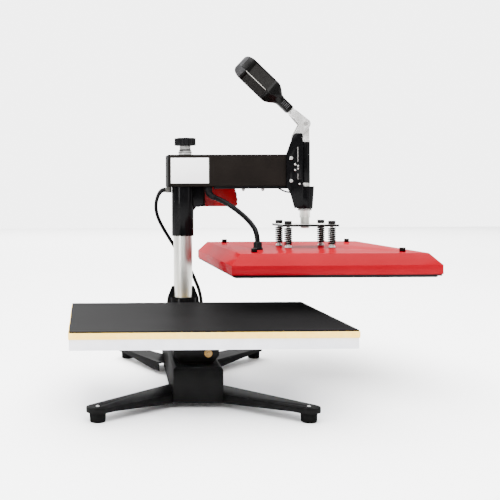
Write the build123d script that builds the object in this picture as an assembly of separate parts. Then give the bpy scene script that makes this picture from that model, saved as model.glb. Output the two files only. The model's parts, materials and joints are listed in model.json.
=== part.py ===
from build123d import *
import math
import os

# Swing-away heat press with a 40 x 50 cm platen, in millimetres, +Z up.
# It is drawn about the post: the post axis is X = Y = 0 and the floor is Z = 0.
# The arm points along +X, swung out to the side of the bed, which lies towards -Y.
# At the end the whole machine is moved so that its own box stands centred on the origin.

# Clearances
SEAT = 0.3
RUN_FIT = 0.05
BOLT_PLAY = 0.25

# Post and its socket
POST_D = 42.0
POST_WALL = 3.0
POST_PLUG_L = 26.0
SOCKET_D = 61.0
SOCKET_TOP_Z = 161.0
SOCKET_FLANGE = 92.0
SOCKET_FLANGE_T = 6.0
FIN_T = 6.0
FIN_REACH = 35.0
FIN_RISE = 25.0

# Base: a box spine with four pressed legs and rubber feet
SPINE_W = 92.0
SPINE_FRONT_Y = -380.0
SPINE_REAR_Y = 46.0
SPINE_BOTTOM_Z = 10.0
SPINE_TOP_Z = 76.0
SPINE_WALL = 4.0
SPINE_BEVEL = 5.0
LEG_TOP_Z = 26.0
LEG_WALL = 3.0
LEG_ROOT_HALF = 34.0
LEG_FOOT_HALF = 20.0
LEG_ROOT_SKIRT = 19.0
LEG_FOOT_SKIRT = 9.0
BASE_TURN = 2.3
FRONT_FOOT_X = 182.0
FRONT_FOOT_Y = -469.0
FRONT_ROOT_Y = -334.0
REAR_LEFT_FOOT_X = 126.0
REAR_RIGHT_FOOT_X = 178.0
REAR_FOOT_Y = 122.0
REAR_ROOT_Y = -26.0
FOOT_D = 30.0
FOOT_TAPER = 1.5

# Bed: a plate, a foam pad and a rubber mat on a pedestal
REACH = 279.0
BED_W = 500.0
BED_D = 400.0
BED_TOP_Z = 158.0
MAT_T = 2.5
FOAM_T = 11.0
FOAM_PROUD = 1.5
BED_PLATE_T = 19.0
BED_SKIN_T = 6.0
BED_RIM_W = 9.0
BED_RIB_W = 7.0
BED_PAD_W = 130.0
PEDESTAL_W = 86.0
PEDESTAL_L = 120.0
PEDESTAL_FOOT_W = 64.0
PEDESTAL_WALL = 5.0
PEDESTAL_DRAW_H = 14.0

# Arm: a box tube on a sleeve that turns on the post
ARM_W = 60.0
ARM_BOTTOM_Z = 411.0
ARM_TOP_Z = 483.0
ARM_WALL = 3.0
ARM_REAR_X = -33.0
ARM_END_GAP = 34.0
SLEEVE_D = 49.0
SLEEVE_BORE = 45.0
SLEEVE_BOTTOM_Z = 300.0
SLEEVE_CAP_T = 22.0
BUSH_L = 26.0
GUSSET_T = 8.0
GUSSET_X = 46.0
GUSSET_Z = 46.0
END_CAP_T = 3.0
LABEL_W = 85.0
LABEL_H = 57.0
LABEL_T = 0.6
LABEL_X = 13.0

# Clamp knob, whose stud bears on the top of the post
KNOB_X = 6.0
STUD_D = 12.0
KNOB_D = 48.0
KNOB_T = 16.5
KNOB_NECK = 17.0
KNOB_LOBES = 8
KNOB_SCALLOP_D = 11.0
COLLAR_D = 30.0
COLLAR_T = 5.0
NUT_AF = 22.0
NUT_T = 9.0

# Head: two cheeks, a guide housing and its bush
CHEEK_T = 5.0
CHEEK_LEFT = 49.5
CHEEK_RIGHT = 12.5
FAR_CHEEK_TAB = 24.0
FAR_CHEEK_TAB_H = 16.0
CHEEK_TOP_Z = 530.0
CHEEK_BOTTOM_Z = 362.0
CHEEK_BOLT_D = 6.0
CHEEK_BOLT_HEAD_D = 10.5
CHEEK_BOLT_HEAD_T = 4.0
CHEEK_BOLT_X = 39.5
CHEEK_BOLT_Z = (424.0, 475.0)
SMALL_BOLT_HEAD_T = 2.0
SMALL_BOLT_HEAD_D = 6.0
SMALL_BOLT_X = 30.5
SMALL_BOLT_Z = (449.0, 462.0)
HOUSING_TOP_Z = 411.0
HOUSING_BOTTOM_Z = 361.0
HOUSING_TOP_D = 42.0
HOUSING_BOTTOM_D = 35.0
HOUSING_LUG_NEAR = 22.0
HOUSING_LUG_FAR = 15.0
BUSH_WALL = 2.5
BUSH_FLANGE_D = 31.0
BUSH_FLANGE_T = 5.0

# Ram, lever and toggle links
RAM_D = 24.0
RAM_CORE_D = 18.0
RAM_WAIST_D = 20.0
RAM_SLEEVE_BOTTOM_Z = 419.0
RAM_SLEEVE_TOP_Z = 512.0
PIVOT_Z = 553.0
PIVOT_D = 10.0
TONGUE_T = 13.0
TONGUE_W = 19.0
FORK_T = 5.0
FORK_R = 11.5
HEEL_L = 35.0
HEEL_R = 8.0
LINK_T = 4.0
LINK_R = 7.0
LINK_PIN_D = 8.0
LINK_PIN_OFFSET = 20.0
LINK_PIN_Z = 430.0
LEVER_ANGLE = 136.0
LEVER_BAR_W = 16.0
LEVER_BAR_START = 24.0
LEVER_BAR_END = 150.0
FORK_END = 44.0
GRIP_START = 46.0
GRIP_NECK_END = 78.0
GRIP_SHOULDER = 103.0
GRIP_END = 203.0
GRIP_NECK = 19.0
GRIP_HEIGHT = 49.0
GRIP_DEPTH = 37.0

# Spring plate with four sprung bolts
SPRING_PLATE_Z = 321.0
SPRING_PLATE_T = 5.0
SPRING_PLATE_W = 127.0
SPRING_PLATE_D = 116.0
BOLT_SPACING_X = 98.0
BOLT_SPACING_Y = 90.0
SPRING_BOLT_D = 8.0
SPRING_BOLT_HEAD_D = 14.5
SPRING_BOLT_HEAD_T = 7.0
SPRING_D = 16.0
SPRING_WIRE = 2.2
SPRING_TURNS = 8
SPRING_CUP_D = 15.0
SPRING_CUP_H = 6.0

# Platen: a folded cover over an insulated heat plate
PLATEN_W = 422.0
PLATEN_D = 514.0
COVER_BOTTOM_Z = 232.5
COVER_SIDE_H = 18.5
COVER_TOP_Z = 273.6
COVER_BEVEL = 21.0
COVER_WALL = 1.5
HEAT_PLATE_Z = 226.0
HEAT_STEP_Z = 229.0
HEAT_FLANGE_INSET = 2.0
HEAT_FACE_INSET = 7.5
HEAT_PLATE_TOP_Z = 242.0
INSULATION_T = 14.0
SCREW_D = 6.0
SCREW_HEAD_D = 11.0
SCREW_HEAD_H = 8.0
SCREW_SPACING_X = 307.0
SCREW_SPACING_Y = 380.0
BED_GAP = 0.6
FLOAT_TRAVEL = 8.0

# Controller behind the arm
CONTROL_LEFT_X = 23.0
CONTROL_SPLIT_X = 55.0
CONTROL_BOTTOM_Z = 366.0
CONTROL_TOP_Z = 474.0
CONTROL_RIGHT_X = 132.0
CONTROL_SLOPE = 23.0
CONTROL_D = 84.0
CONTROL_WALL = 2.5
PANEL_T = 3.0
PANEL_MARGIN = 7.0
WINDOW_W = 50.0
WINDOW_H = 26.0
WINDOW_T = 1.2
BUTTON_D = 11.0
BUTTON_H = 4.5
BUTTON_TRAVEL = 1.5
BUTTON_PITCH = 22.0
ROCKER_W = 14.0
ROCKER_H = 22.0
ROCKER_TILT = 12.0

# Glands, conduit and mains cord
SUPPLY_GLAND_X = -31.0
SUPPLY_GLAND_D = 12.0
SUPPLY_GLAND_H = 13.0
SUPPLY_GLAND_L = 8.4
SUPPLY_GLAND_DROP = 6.5
SUPPLY_GLAND_CLEAR = 0.6
CONDUIT_D = 11.0
CONDUIT_GLAND_D = 18.0
CONDUIT_GLAND_H = 17.0
CONDUIT_TOP_X = 57.0
CONDUIT_TOP_Y = -12.0
CONDUIT_END_X = 150.0
CONDUIT_END_Y = -104.0
CONDUIT_TOP_GLAND_H = 8.0
CONDUIT_LEAD_L = 26.0
CORD_D = 8.0
COIL_MEAN_D = 92.0
COIL_X = 70.0
COIL_Y = 285.0
COIL_LAYERS = 2
COIL_COLUMNS = 2
PLUG_L = 38.0
PLUG_W = 34.0
PLUG_H = 20.0
PLUG_PIN_D = 4.8
PLUG_PIN_L = 19.0
PLUG_PIN_PITCH = 19.0
CORD_FLOOR_GAP = 0.3

# Places worked out from the sizes above
MAT_BOTTOM_Z = BED_TOP_Z - MAT_T
FOAM_BOTTOM_Z = MAT_BOTTOM_Z - FOAM_T
BED_BOTTOM_Z = FOAM_BOTTOM_Z - BED_PLATE_T
BED_Y = -REACH
STROKE = HEAT_PLATE_Z - BED_TOP_Z - BED_GAP
ARM_MID_Z = (ARM_TOP_Z + ARM_BOTTOM_Z) / 2
ARM_END_X = REACH - ARM_END_GAP
SLEEVE_TOP_Z = ARM_TOP_Z - ARM_WALL
POST_TOP_Z = SLEEVE_TOP_Z - SLEEVE_CAP_T - SEAT
KNOB_BOTTOM_Z = ARM_TOP_Z + COLLAR_T + KNOB_NECK
CHEEK_INNER = ARM_W / 2
CHEEK_OUTER = CHEEK_INNER + CHEEK_T
FORK_IN = TONGUE_T / 2 + SEAT
FORK_OUT = FORK_IN + FORK_T
LINK_IN = FORK_OUT + SEAT
LINK_OUT = LINK_IN + LINK_T
LINK_PIN_X = REACH - LINK_PIN_OFFSET
CLOSED_PIVOT_Z = PIVOT_Z - STROKE
SPRING_PLATE_TOP_Z = SPRING_PLATE_Z + SPRING_PLATE_T
CUP_TOP_Z = COVER_TOP_Z + SPRING_CUP_H
CONTROL_NEAR_Y = ARM_W / 2
CONTROL_FAR_Y = CONTROL_NEAR_Y + CONTROL_D
CONTROL_MID_Y = (CONTROL_NEAR_Y + CONTROL_FAR_Y) / 2
CONTROL_MID_Z = (CONTROL_BOTTOM_Z + CONTROL_TOP_Z) / 2
CONTROL_H = CONTROL_TOP_Z - CONTROL_BOTTOM_Z
PANEL_TILT = math.degrees(math.atan2(CONTROL_SLOPE, CONTROL_H))


def toggle_angles():
    """Heel and link directions, open and closed, with the three toggle pins in line when closed."""
    closed_rise = CLOSED_PIVOT_Z - LINK_PIN_Z
    open_rise = PIVOT_Z - LINK_PIN_Z
    closed_span = math.hypot(LINK_PIN_OFFSET, closed_rise)
    open_span = math.hypot(LINK_PIN_OFFSET, open_rise)
    length = closed_span + HEEL_L
    closed_dir = math.degrees(math.atan2(closed_rise, LINK_PIN_OFFSET))
    open_dir = math.degrees(math.atan2(open_rise, LINK_PIN_OFFSET))
    at_pivot = (HEEL_L ** 2 + open_span ** 2 - length ** 2) / (2 * HEEL_L * open_span)
    heel_open = open_dir - 180 - math.degrees(math.acos(at_pivot))
    heel_turn = heel_open - (closed_dir - 360)
    at_pin = (length ** 2 + open_span ** 2 - HEEL_L ** 2) / (2 * length * open_span)
    link_open = open_dir + math.degrees(math.acos(at_pin))
    return length, heel_open, heel_turn, link_open, link_open - closed_dir


LINK_L, HEEL_ANGLE, LEVER_TURN, LINK_ANGLE, LINK_TURN = toggle_angles()


def polar(x, z, length, degrees):
    """The X and Z of a point at a distance and a direction from another one."""
    return x + length * math.cos(math.radians(degrees)), z + length * math.sin(math.radians(degrees))


HEEL_PIN = polar(REACH, PIVOT_Z, HEEL_L, HEEL_ANGLE)


def box(x0, x1, y0, y1, z0, z1):
    """A block between two corners."""
    block = Box(x1 - x0, y1 - y0, z1 - z0, align=Align.MIN)
    return Pos(x0, y0, z0) * block


def rod(x, y, z0, z1, diameter):
    """An upright cylinder."""
    cylinder = Cylinder(diameter / 2, z1 - z0, align=(Align.CENTER, Align.CENTER, Align.MIN))
    return Pos(x, y, z0) * cylinder


def pipe(x, y, z0, z1, outer, inner):
    """An upright tube."""
    return rod(x, y, z0, z1, outer) - rod(x, y, z0 - 1, z1 + 1, inner)


def cross_rod(x, z, y0, y1, diameter):
    """A cylinder that lies along Y."""
    cylinder = Cylinder(diameter / 2, y1 - y0)
    return Pos(x, (y0 + y1) / 2, z) * (Rot(90, 0, 0) * cylinder)


def slab(points, y0, y1):
    """A flat plate in the XZ plane, from its outline."""
    face = make_face(Polyline(*[(x, 0, z) for x, z in points], close=True))
    plate = extrude(face, amount=y1 - y0, dir=(0, 1, 0))
    return Pos(0, y0, 0) * plate


def strap(start, start_r, end, end_r, y0, y1):
    """A flat link in the XZ plane with two round ends."""
    (x0, z0), (x1, z1) = start, end
    span = math.hypot(x1 - x0, z1 - z0)
    lean = math.degrees(math.atan2(z1 - z0, x1 - x0))
    turn = math.acos((start_r - end_r) / span)
    rim = [polar(x0, z0, start_r, lean + math.degrees(turn)), polar(x1, z1, end_r, lean + math.degrees(turn))]
    rim += [polar(x1, z1, end_r, lean - math.degrees(turn)), polar(x0, z0, start_r, lean - math.degrees(turn))]
    web = slab(rim, y0, y1)
    return web + cross_rod(x0, z0, y0, y1, 2 * start_r) + cross_rod(x1, z1, y0, y1, 2 * end_r)


def corners(spacing_x, spacing_y, x=0.0, y=0.0):
    """The four places of a rectangular pattern."""
    return [(x + i * spacing_x / 2, y + j * spacing_y / 2) for i in (-1, 1) for j in (-1, 1)]


def group(pieces):
    """Separate solids kept together in one node."""
    return Compound(children=list(pieces))


# Base

def base_spine():
    """Closed steel box that carries the post at its rear and the pedestal at its front."""
    outer = box(-SPINE_W / 2, SPINE_W / 2, SPINE_FRONT_Y, SPINE_REAR_Y, SPINE_BOTTOM_Z, SPINE_TOP_Z)
    outer = chamfer(outer.edges().group_by(Axis.Z)[-1], SPINE_BEVEL)
    inner = box(-SPINE_W / 2 + SPINE_WALL, SPINE_W / 2 - SPINE_WALL, SPINE_FRONT_Y + SPINE_WALL,
                SPINE_REAR_Y - SPINE_WALL, SPINE_BOTTOM_Z + SPINE_WALL, SPINE_TOP_Z - SPINE_BEVEL - SPINE_WALL)
    return outer - inner


def leg(side, foot_x, foot_y, root_y):
    """Tapered channel, open below, from the side of the spine out to its foot."""
    root = Vector(side * (SPINE_W / 2 + RUN_FIT), root_y)
    foot = Vector(side * foot_x, foot_y)
    along = (foot - root).normalized()
    length = (foot - root).length
    out = Vector(-along.Y, along.X)
    back = LEG_ROOT_HALF

    def plan(inset):
        """The leg's outline seen from above, drawn in by the wall."""
        start = root - along * back
        corner = [start + out * (LEG_ROOT_HALF - inset), foot + out * (LEG_FOOT_HALF - inset)]
        corner += [foot - out * (LEG_FOOT_HALF - inset), start - out * (LEG_ROOT_HALF - inset)]
        web = make_face(Polyline(*[(p.X, p.Y) for p in corner], close=True))
        return web + Pos(foot.X, foot.Y) * Circle(LEG_FOOT_HALF - inset)

    solid = Pos(0, 0, LEG_TOP_Z - LEG_ROOT_SKIRT) * extrude(plan(0), amount=LEG_ROOT_SKIRT)
    hollow_h = LEG_ROOT_SKIRT - LEG_WALL
    solid -= Pos(0, 0, LEG_TOP_Z - LEG_ROOT_SKIRT) * extrude(plan(LEG_WALL), amount=hollow_h)
    low = LEG_TOP_Z - LEG_ROOT_SKIRT
    high = LEG_TOP_Z - LEG_FOOT_SKIRT
    reach = length + LEG_FOOT_HALF
    wedge = [(0, low - 1), (0, low), (length - LEG_FOOT_HALF, high), (reach + 1, high), (reach + 1, low - 1)]
    heading = math.degrees(math.atan2(along.Y, along.X))
    under = slab(wedge, -2 * LEG_ROOT_HALF, 2 * LEG_ROOT_HALF)
    solid -= Pos(root.X, root.Y, 0) * (Rot(0, 0, heading) * under)
    solid -= box(-SPINE_W / 2 - RUN_FIT, SPINE_W / 2 + RUN_FIT, SPINE_FRONT_Y - 200, SPINE_REAR_Y + 200, 0, LEG_TOP_Z + 1)
    solid -= rod(foot.X, foot.Y, 0, LEG_TOP_Z + 1, SCREW_D + 2 * BOLT_PLAY)
    piece = solid.solids().sort_by(SortBy.VOLUME)[-1]
    return piece


def foot_places():
    """Where the four feet stand, by name."""
    return {
        "front_left": (-FRONT_FOOT_X, FRONT_FOOT_Y),
        "front_right": (FRONT_FOOT_X, FRONT_FOOT_Y),
        "rear_left": (-REAR_LEFT_FOOT_X, REAR_FOOT_Y),
        "rear_right": (REAR_RIGHT_FOOT_X, REAR_FOOT_Y),
    }


def rubber_foot(x, y):
    """Rubber foot, wider at the top, under the end of a leg."""
    top = LEG_TOP_Z - LEG_WALL
    body = Pos(x, y, top / 2) * Cone(FOOT_D / 2 - FOOT_TAPER, FOOT_D / 2, top)
    return body - rod(x, y, top - LEG_FOOT_SKIRT, top + 1, SCREW_D + 2 * RUN_FIT)


def base_fasteners():
    """Foot screws, socket bolts and the two bolts that hold the bed plate."""
    pieces = []
    for x, y in foot_places().values():
        stem = rod(x, y, LEG_TOP_Z - LEG_WALL - LEG_FOOT_SKIRT, LEG_TOP_Z, SCREW_D)
        pieces.append(stem + rod(x, y, LEG_TOP_Z, LEG_TOP_Z + 2, SCREW_HEAD_D))
    flange_top = SPINE_TOP_Z + SOCKET_FLANGE_T
    spacing = SOCKET_FLANGE - 2 * SCREW_HEAD_D - 6
    for x, y in corners(spacing, spacing):
        pieces.append(rod(x, y, flange_top, flange_top + SCREW_D, SCREW_HEAD_D))
    return group(pieces)


def bed_pedestal():
    """Pedestal under the bed, drawn in above the spine."""
    wide = PEDESTAL_W / 2
    narrow = PEDESTAL_FOOT_W / 2
    top = BED_BOTTOM_Z
    shoulder = SPINE_TOP_Z + PEDESTAL_DRAW_H
    outline = [(-narrow, SPINE_TOP_Z), (-wide, shoulder), (-wide, top)]
    outline += [(wide, top), (wide, shoulder), (narrow, SPINE_TOP_Z)]
    front = BED_Y - PEDESTAL_L / 2
    rear = BED_Y + PEDESTAL_L / 2
    block = slab(outline, front, rear)
    wall = PEDESTAL_WALL
    return block - box(-wide + wall, wide - wall, front + wall, rear - wall, shoulder, top - wall)


def bed_plate():
    """Cast aluminium plate of the bed, with a rim, two crossed ribs and a pad underneath."""
    plate = box(-BED_W / 2, BED_W / 2, BED_Y - BED_D / 2, BED_Y + BED_D / 2, BED_BOTTOM_Z, FOAM_BOTTOM_Z)
    plate = chamfer(plate.edges().filter_by(Axis.Z), 1.0)
    half_w = BED_W / 2 - BED_RIM_W
    half_d = BED_D / 2 - BED_RIM_W
    skin = FOAM_BOTTOM_Z - BED_SKIN_T
    pocket = box(-half_w, half_w, BED_Y - half_d, BED_Y + half_d, BED_BOTTOM_Z - 1, skin)
    rib = BED_RIB_W / 2
    pad = BED_PAD_W / 2
    pocket -= box(-half_w, half_w, BED_Y - rib, BED_Y + rib, BED_BOTTOM_Z - 1, skin)
    pocket -= box(-rib, rib, BED_Y - half_d, BED_Y + half_d, BED_BOTTOM_Z - 1, skin)
    pocket -= box(-pad, pad, BED_Y - pad, BED_Y + pad, BED_BOTTOM_Z - 1, skin)
    return plate - pocket


def bed_foam():
    """Silicone foam pad, a little proud of the plate."""
    wide = BED_W / 2 + FOAM_PROUD
    deep = BED_D / 2 + FOAM_PROUD
    return box(-wide, wide, BED_Y - deep, BED_Y + deep, FOAM_BOTTOM_Z, MAT_BOTTOM_Z)


def bed_mat():
    """Black rubber mat, the work surface."""
    return box(-BED_W / 2, BED_W / 2, BED_Y - BED_D / 2, BED_Y + BED_D / 2, MAT_BOTTOM_Z, BED_TOP_Z)


def post_socket():
    """Flanged socket tube for the post, with a gusset fin on each side."""
    flange_top = SPINE_TOP_Z + SOCKET_FLANGE_T
    half = SOCKET_FLANGE / 2
    part = box(-half, half, -half, half, SPINE_TOP_Z, flange_top)
    part += rod(0, 0, flange_top, SOCKET_TOP_Z, SOCKET_D)
    for side in (-1, 1):
        fin = [(0, flange_top), (half, flange_top), (FIN_REACH, SOCKET_TOP_Z)]
        fin += [(POST_D / 2 + 4, SOCKET_TOP_Z + FIN_RISE), (0, SOCKET_TOP_Z + FIN_RISE)]
        part += slab([(side * x, z) for x, z in fin], -FIN_T / 2, FIN_T / 2)
    return part - rod(0, 0, SPINE_TOP_Z - 1, SOCKET_TOP_Z + FIN_RISE + 1, POST_D + 2 * RUN_FIT)


def post():
    """Chromed post with a solid plug in its top."""
    tube = pipe(0, 0, SPINE_TOP_Z, POST_TOP_Z, POST_D, POST_D - 2 * POST_WALL)
    return tube + rod(0, 0, POST_TOP_Z - POST_PLUG_L, POST_TOP_Z, POST_D - 2 * POST_WALL)


# Arm

def arm_tube():
    """Box tube of the arm, with holes for the sleeve, the stud and the cheek bolts."""
    tube = box(ARM_REAR_X, ARM_END_X, -ARM_W / 2, ARM_W / 2, ARM_BOTTOM_Z, ARM_TOP_Z)
    tube = fillet(tube.edges().filter_by(Axis.X), 3.0)
    tube -= box(ARM_REAR_X - 1, ARM_END_X + 1, -ARM_W / 2 + ARM_WALL, ARM_W / 2 - ARM_WALL,
                ARM_BOTTOM_Z + ARM_WALL, ARM_TOP_Z - ARM_WALL)
    tube -= rod(0, 0, ARM_BOTTOM_Z - 1, ARM_MID_Z, SLEEVE_D + 2 * RUN_FIT)
    tube -= rod(KNOB_X, 0, ARM_MID_Z, ARM_TOP_Z + 1, STUD_D + 2 * BOLT_PLAY)
    for z in CHEEK_BOLT_Z:
        tube -= cross_rod(REACH - CHEEK_BOLT_X, z, -ARM_W, ARM_W, CHEEK_BOLT_D)
    return tube


def arm_end_cap():
    """Plastic cap in the rear end of the arm."""
    gap = ARM_WALL + RUN_FIT
    lid = box(ARM_REAR_X - END_CAP_T, ARM_REAR_X, -ARM_W / 2, ARM_W / 2, ARM_BOTTOM_Z, ARM_TOP_Z)
    lid = chamfer(lid.faces().sort_by(Axis.X)[0].edges(), 1.0)
    return lid + box(ARM_REAR_X, ARM_REAR_X + 6, -ARM_W / 2 + gap, ARM_W / 2 - gap, ARM_BOTTOM_Z + gap, ARM_TOP_Z - gap)


def post_sleeve():
    """Sleeve that turns on the post, closed above, with a gusset under the arm."""
    part = rod(0, 0, SLEEVE_BOTTOM_Z, SLEEVE_TOP_Z, SLEEVE_D)
    reach = [(0, ARM_BOTTOM_Z), (GUSSET_X, ARM_BOTTOM_Z), (GUSSET_X, ARM_BOTTOM_Z - GUSSET_Z + 8)]
    reach += [(GUSSET_X - 8, ARM_BOTTOM_Z - GUSSET_Z), (SLEEVE_D / 2 + 6, ARM_BOTTOM_Z - GUSSET_Z)]
    reach += [(SLEEVE_D / 2, ARM_BOTTOM_Z - GUSSET_Z - 8), (0, ARM_BOTTOM_Z - GUSSET_Z - 8)]
    part += slab(reach, -GUSSET_T / 2, GUSSET_T / 2)
    part -= rod(0, 0, SLEEVE_BOTTOM_Z - 1, SLEEVE_TOP_Z - SLEEVE_CAP_T, SLEEVE_BORE)
    return part - rod(KNOB_X, 0, SLEEVE_TOP_Z - SLEEVE_CAP_T - 1, SLEEVE_TOP_Z + 1, STUD_D + 2 * BOLT_PLAY)


def sleeve_bushes():
    """Two bushes in the sleeve, running on the post."""
    bore = POST_D + 2 * RUN_FIT
    low = pipe(0, 0, SLEEVE_BOTTOM_Z, SLEEVE_BOTTOM_Z + BUSH_L, SLEEVE_BORE, bore)
    high = pipe(0, 0, POST_TOP_Z - BUSH_L, POST_TOP_Z, SLEEVE_BORE, bore)
    return group([low, high])


def knob_collar():
    """Steel collar on the arm, under the clamp knob."""
    return pipe(KNOB_X, 0, ARM_TOP_Z, ARM_TOP_Z + COLLAR_T, COLLAR_D, STUD_D + 2 * BOLT_PLAY)


def rating_plate():
    """Bare plate riveted on the side of the arm."""
    x0 = LABEL_X - LABEL_W / 2
    z0 = ARM_MID_Z - LABEL_H / 2
    return box(x0, x0 + LABEL_W, -ARM_W / 2 - LABEL_T, -ARM_W / 2, z0, z0 + LABEL_H)


def cheek(side):
    """Side plate of the head, bolted to the arm; the near one is tall, the far one keeps to the arm."""
    left = REACH - CHEEK_LEFT
    right = REACH - CHEEK_RIGHT
    if side < 0:
        outline = [(left, ARM_BOTTOM_Z), (left, ARM_TOP_Z), (left + 16, CHEEK_TOP_Z - 3), (left + 20, CHEEK_TOP_Z)]
        outline += [(right - 3, CHEEK_TOP_Z), (right, CHEEK_TOP_Z - 3), (right, CHEEK_BOTTOM_Z)]
        outline += [(left + 18, CHEEK_BOTTOM_Z), (left + 9, ARM_BOTTOM_Z - 16)]
    else:
        tab = ARM_BOTTOM_Z - FAR_CHEEK_TAB_H
        outline = [(left, ARM_BOTTOM_Z), (left, ARM_TOP_Z), (right, ARM_TOP_Z), (right, tab)]
        outline += [(left + FAR_CHEEK_TAB, tab), (left + FAR_CHEEK_TAB, ARM_BOTTOM_Z)]
    y0, y1 = sorted((side * CHEEK_INNER, side * CHEEK_OUTER))
    plate = slab(outline, y0, y1)
    for z in CHEEK_BOLT_Z:
        plate -= cross_rod(REACH - CHEEK_BOLT_X, z, y0 - 1, y1 + 1, CHEEK_BOLT_D)
    return plate - cross_rod(LINK_PIN_X, LINK_PIN_Z, y0 - 1, y1 + 1, LINK_PIN_D)


def cheek_bolts():
    """Through bolts of the cheeks with a head and a nut, and small cap screws on each cheek."""
    pieces = []
    end = CHEEK_OUTER + CHEEK_BOLT_HEAD_T
    for z in CHEEK_BOLT_Z:
        x = REACH - CHEEK_BOLT_X
        bolt = cross_rod(x, z, -end, end, CHEEK_BOLT_D)
        bolt += cross_rod(x, z, -end, -CHEEK_OUTER, CHEEK_BOLT_HEAD_D)
        pieces.append(bolt + cross_rod(x, z, CHEEK_OUTER, end, CHEEK_BOLT_HEAD_D))
    for z in SMALL_BOLT_Z:
        for side in (-1, 1):
            y0, y1 = sorted((side * CHEEK_OUTER, side * (CHEEK_OUTER + SMALL_BOLT_HEAD_T)))
            pieces.append(cross_rod(REACH - SMALL_BOLT_X, z, y0, y1, SMALL_BOLT_HEAD_D))
    return group(pieces)


def guide_housing():
    """Tapered guide housing of the ram, held between the cheeks by its lug."""
    height = HOUSING_TOP_Z - HOUSING_BOTTOM_Z
    mid = (HOUSING_TOP_Z + HOUSING_BOTTOM_Z) / 2
    part = Pos(REACH, 0, mid) * Cone(HOUSING_BOTTOM_D / 2, HOUSING_TOP_D / 2, height)
    part += box(REACH - HOUSING_LUG_NEAR, REACH, -CHEEK_INNER, 0, HOUSING_BOTTOM_Z + 4, HOUSING_TOP_Z - 6)
    part += box(REACH - HOUSING_LUG_FAR, REACH, 0, CHEEK_INNER, HOUSING_BOTTOM_Z + 4, HOUSING_TOP_Z - 6)
    part = part - box(REACH - CHEEK_RIGHT, REACH + RAM_D, -CHEEK_INNER - 1, -HOUSING_TOP_D / 2, 0, HOUSING_TOP_Z)
    part = part - box(REACH - CHEEK_RIGHT, REACH + RAM_D, HOUSING_TOP_D / 2, CHEEK_INNER + 1, 0, HOUSING_TOP_Z)
    return part - rod(REACH, 0, 0, HOUSING_TOP_Z + 1, RAM_D + 2 * BUSH_WALL)


def guide_bush():
    """Flanged bush of the ram, pressed in the housing from below."""
    bore = RAM_D + 2 * RUN_FIT
    part = rod(REACH, 0, HOUSING_BOTTOM_Z, HOUSING_TOP_Z, RAM_D + 2 * BUSH_WALL)
    part += rod(REACH, 0, HOUSING_BOTTOM_Z - BUSH_FLANGE_T, HOUSING_BOTTOM_Z, BUSH_FLANGE_D)
    return part - rod(REACH, 0, 0, HOUSING_TOP_Z + 1, bore)


def link_pin():
    """Fixed pin of the toggle links, across both cheeks."""
    end = CHEEK_OUTER + 3
    pin = cross_rod(LINK_PIN_X, LINK_PIN_Z, -end, end, LINK_PIN_D)
    for side in (-1, 1):
        y0, y1 = sorted((side * CHEEK_OUTER, side * end))
        pin += cross_rod(LINK_PIN_X, LINK_PIN_Z, y0, y1, LINK_PIN_D - 2)
    return pin


def control_outline(inset=0.0):
    """Side outline of the red hood, with its leaning front."""
    x1 = CONTROL_RIGHT_X - inset
    top_x = CONTROL_RIGHT_X - CONTROL_SLOPE - inset
    return [(CONTROL_SPLIT_X, CONTROL_BOTTOM_Z + inset), (x1, CONTROL_BOTTOM_Z + inset),
            (top_x, CONTROL_TOP_Z - inset), (CONTROL_SPLIT_X, CONTROL_TOP_Z - inset)]


def control_back():
    """Black rear half of the controller, bolted to the far side of the arm."""
    shell = box(CONTROL_LEFT_X, CONTROL_SPLIT_X, CONTROL_NEAR_Y, CONTROL_FAR_Y, CONTROL_BOTTOM_Z, CONTROL_TOP_Z)
    shell = fillet(shell.faces().sort_by(Axis.X)[0].edges(), 4.0)
    w = CONTROL_WALL
    shell -= box(CONTROL_LEFT_X + w, CONTROL_SPLIT_X + 1, CONTROL_NEAR_Y + w, CONTROL_FAR_Y - w,
                 CONTROL_BOTTOM_Z + w, CONTROL_TOP_Z - w)
    window = rocker_block(ROCKER_W + 2 * BOLT_PLAY, ROCKER_H + 2 * BOLT_PLAY, CONTROL_D)
    return shell - window


def control_hood():
    """Red front half of the controller, leaning back at the panel."""
    shell = slab(control_outline(), CONTROL_NEAR_Y, CONTROL_FAR_Y)
    edges = shell.edges().filter_by(Axis.Y).sort_by(Axis.X)[-2:]
    shell = fillet(edges, 6.0)
    w = CONTROL_WALL
    inner = [(CONTROL_SPLIT_X - 1, CONTROL_BOTTOM_Z + w), (CONTROL_RIGHT_X - 3 * w, CONTROL_BOTTOM_Z + w),
             (CONTROL_RIGHT_X - CONTROL_SLOPE - 3 * w, CONTROL_TOP_Z - w), (CONTROL_SPLIT_X - 1, CONTROL_TOP_Z - w)]
    shell -= slab(inner, CONTROL_NEAR_Y + w, CONTROL_FAR_Y - w)
    for place in button_places():
        shell -= on_panel(place, -6 * w, 1, BUTTON_D + 2 * BOLT_PLAY)
    return shell


def panel_frame():
    """Location of the panel: local X across the controller, local Y up the slope, Z outwards."""
    mid_x = CONTROL_RIGHT_X - CONTROL_SLOPE / 2
    normal = (math.cos(math.radians(PANEL_TILT)), 0, math.sin(math.radians(PANEL_TILT)))
    return Plane(origin=(mid_x, CONTROL_MID_Y, CONTROL_MID_Z), x_dir=(0, 1, 0), z_dir=normal).location


def on_panel(place, z0, z1, diameter):
    """A cylinder that stands on the panel's frame."""
    cylinder = Cylinder(diameter / 2, z1 - z0, align=(Align.CENTER, Align.CENTER, Align.MIN))
    return panel_frame() * (Pos(place[0], place[1], z0) * cylinder)


def panel_block(width, height, x, y, z0, z1):
    """A block that lies on the panel's frame."""
    block = Box(width, height, z1 - z0, align=(Align.CENTER, Align.CENTER, Align.MIN))
    return panel_frame() * (Pos(x, y, z0) * block)


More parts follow.
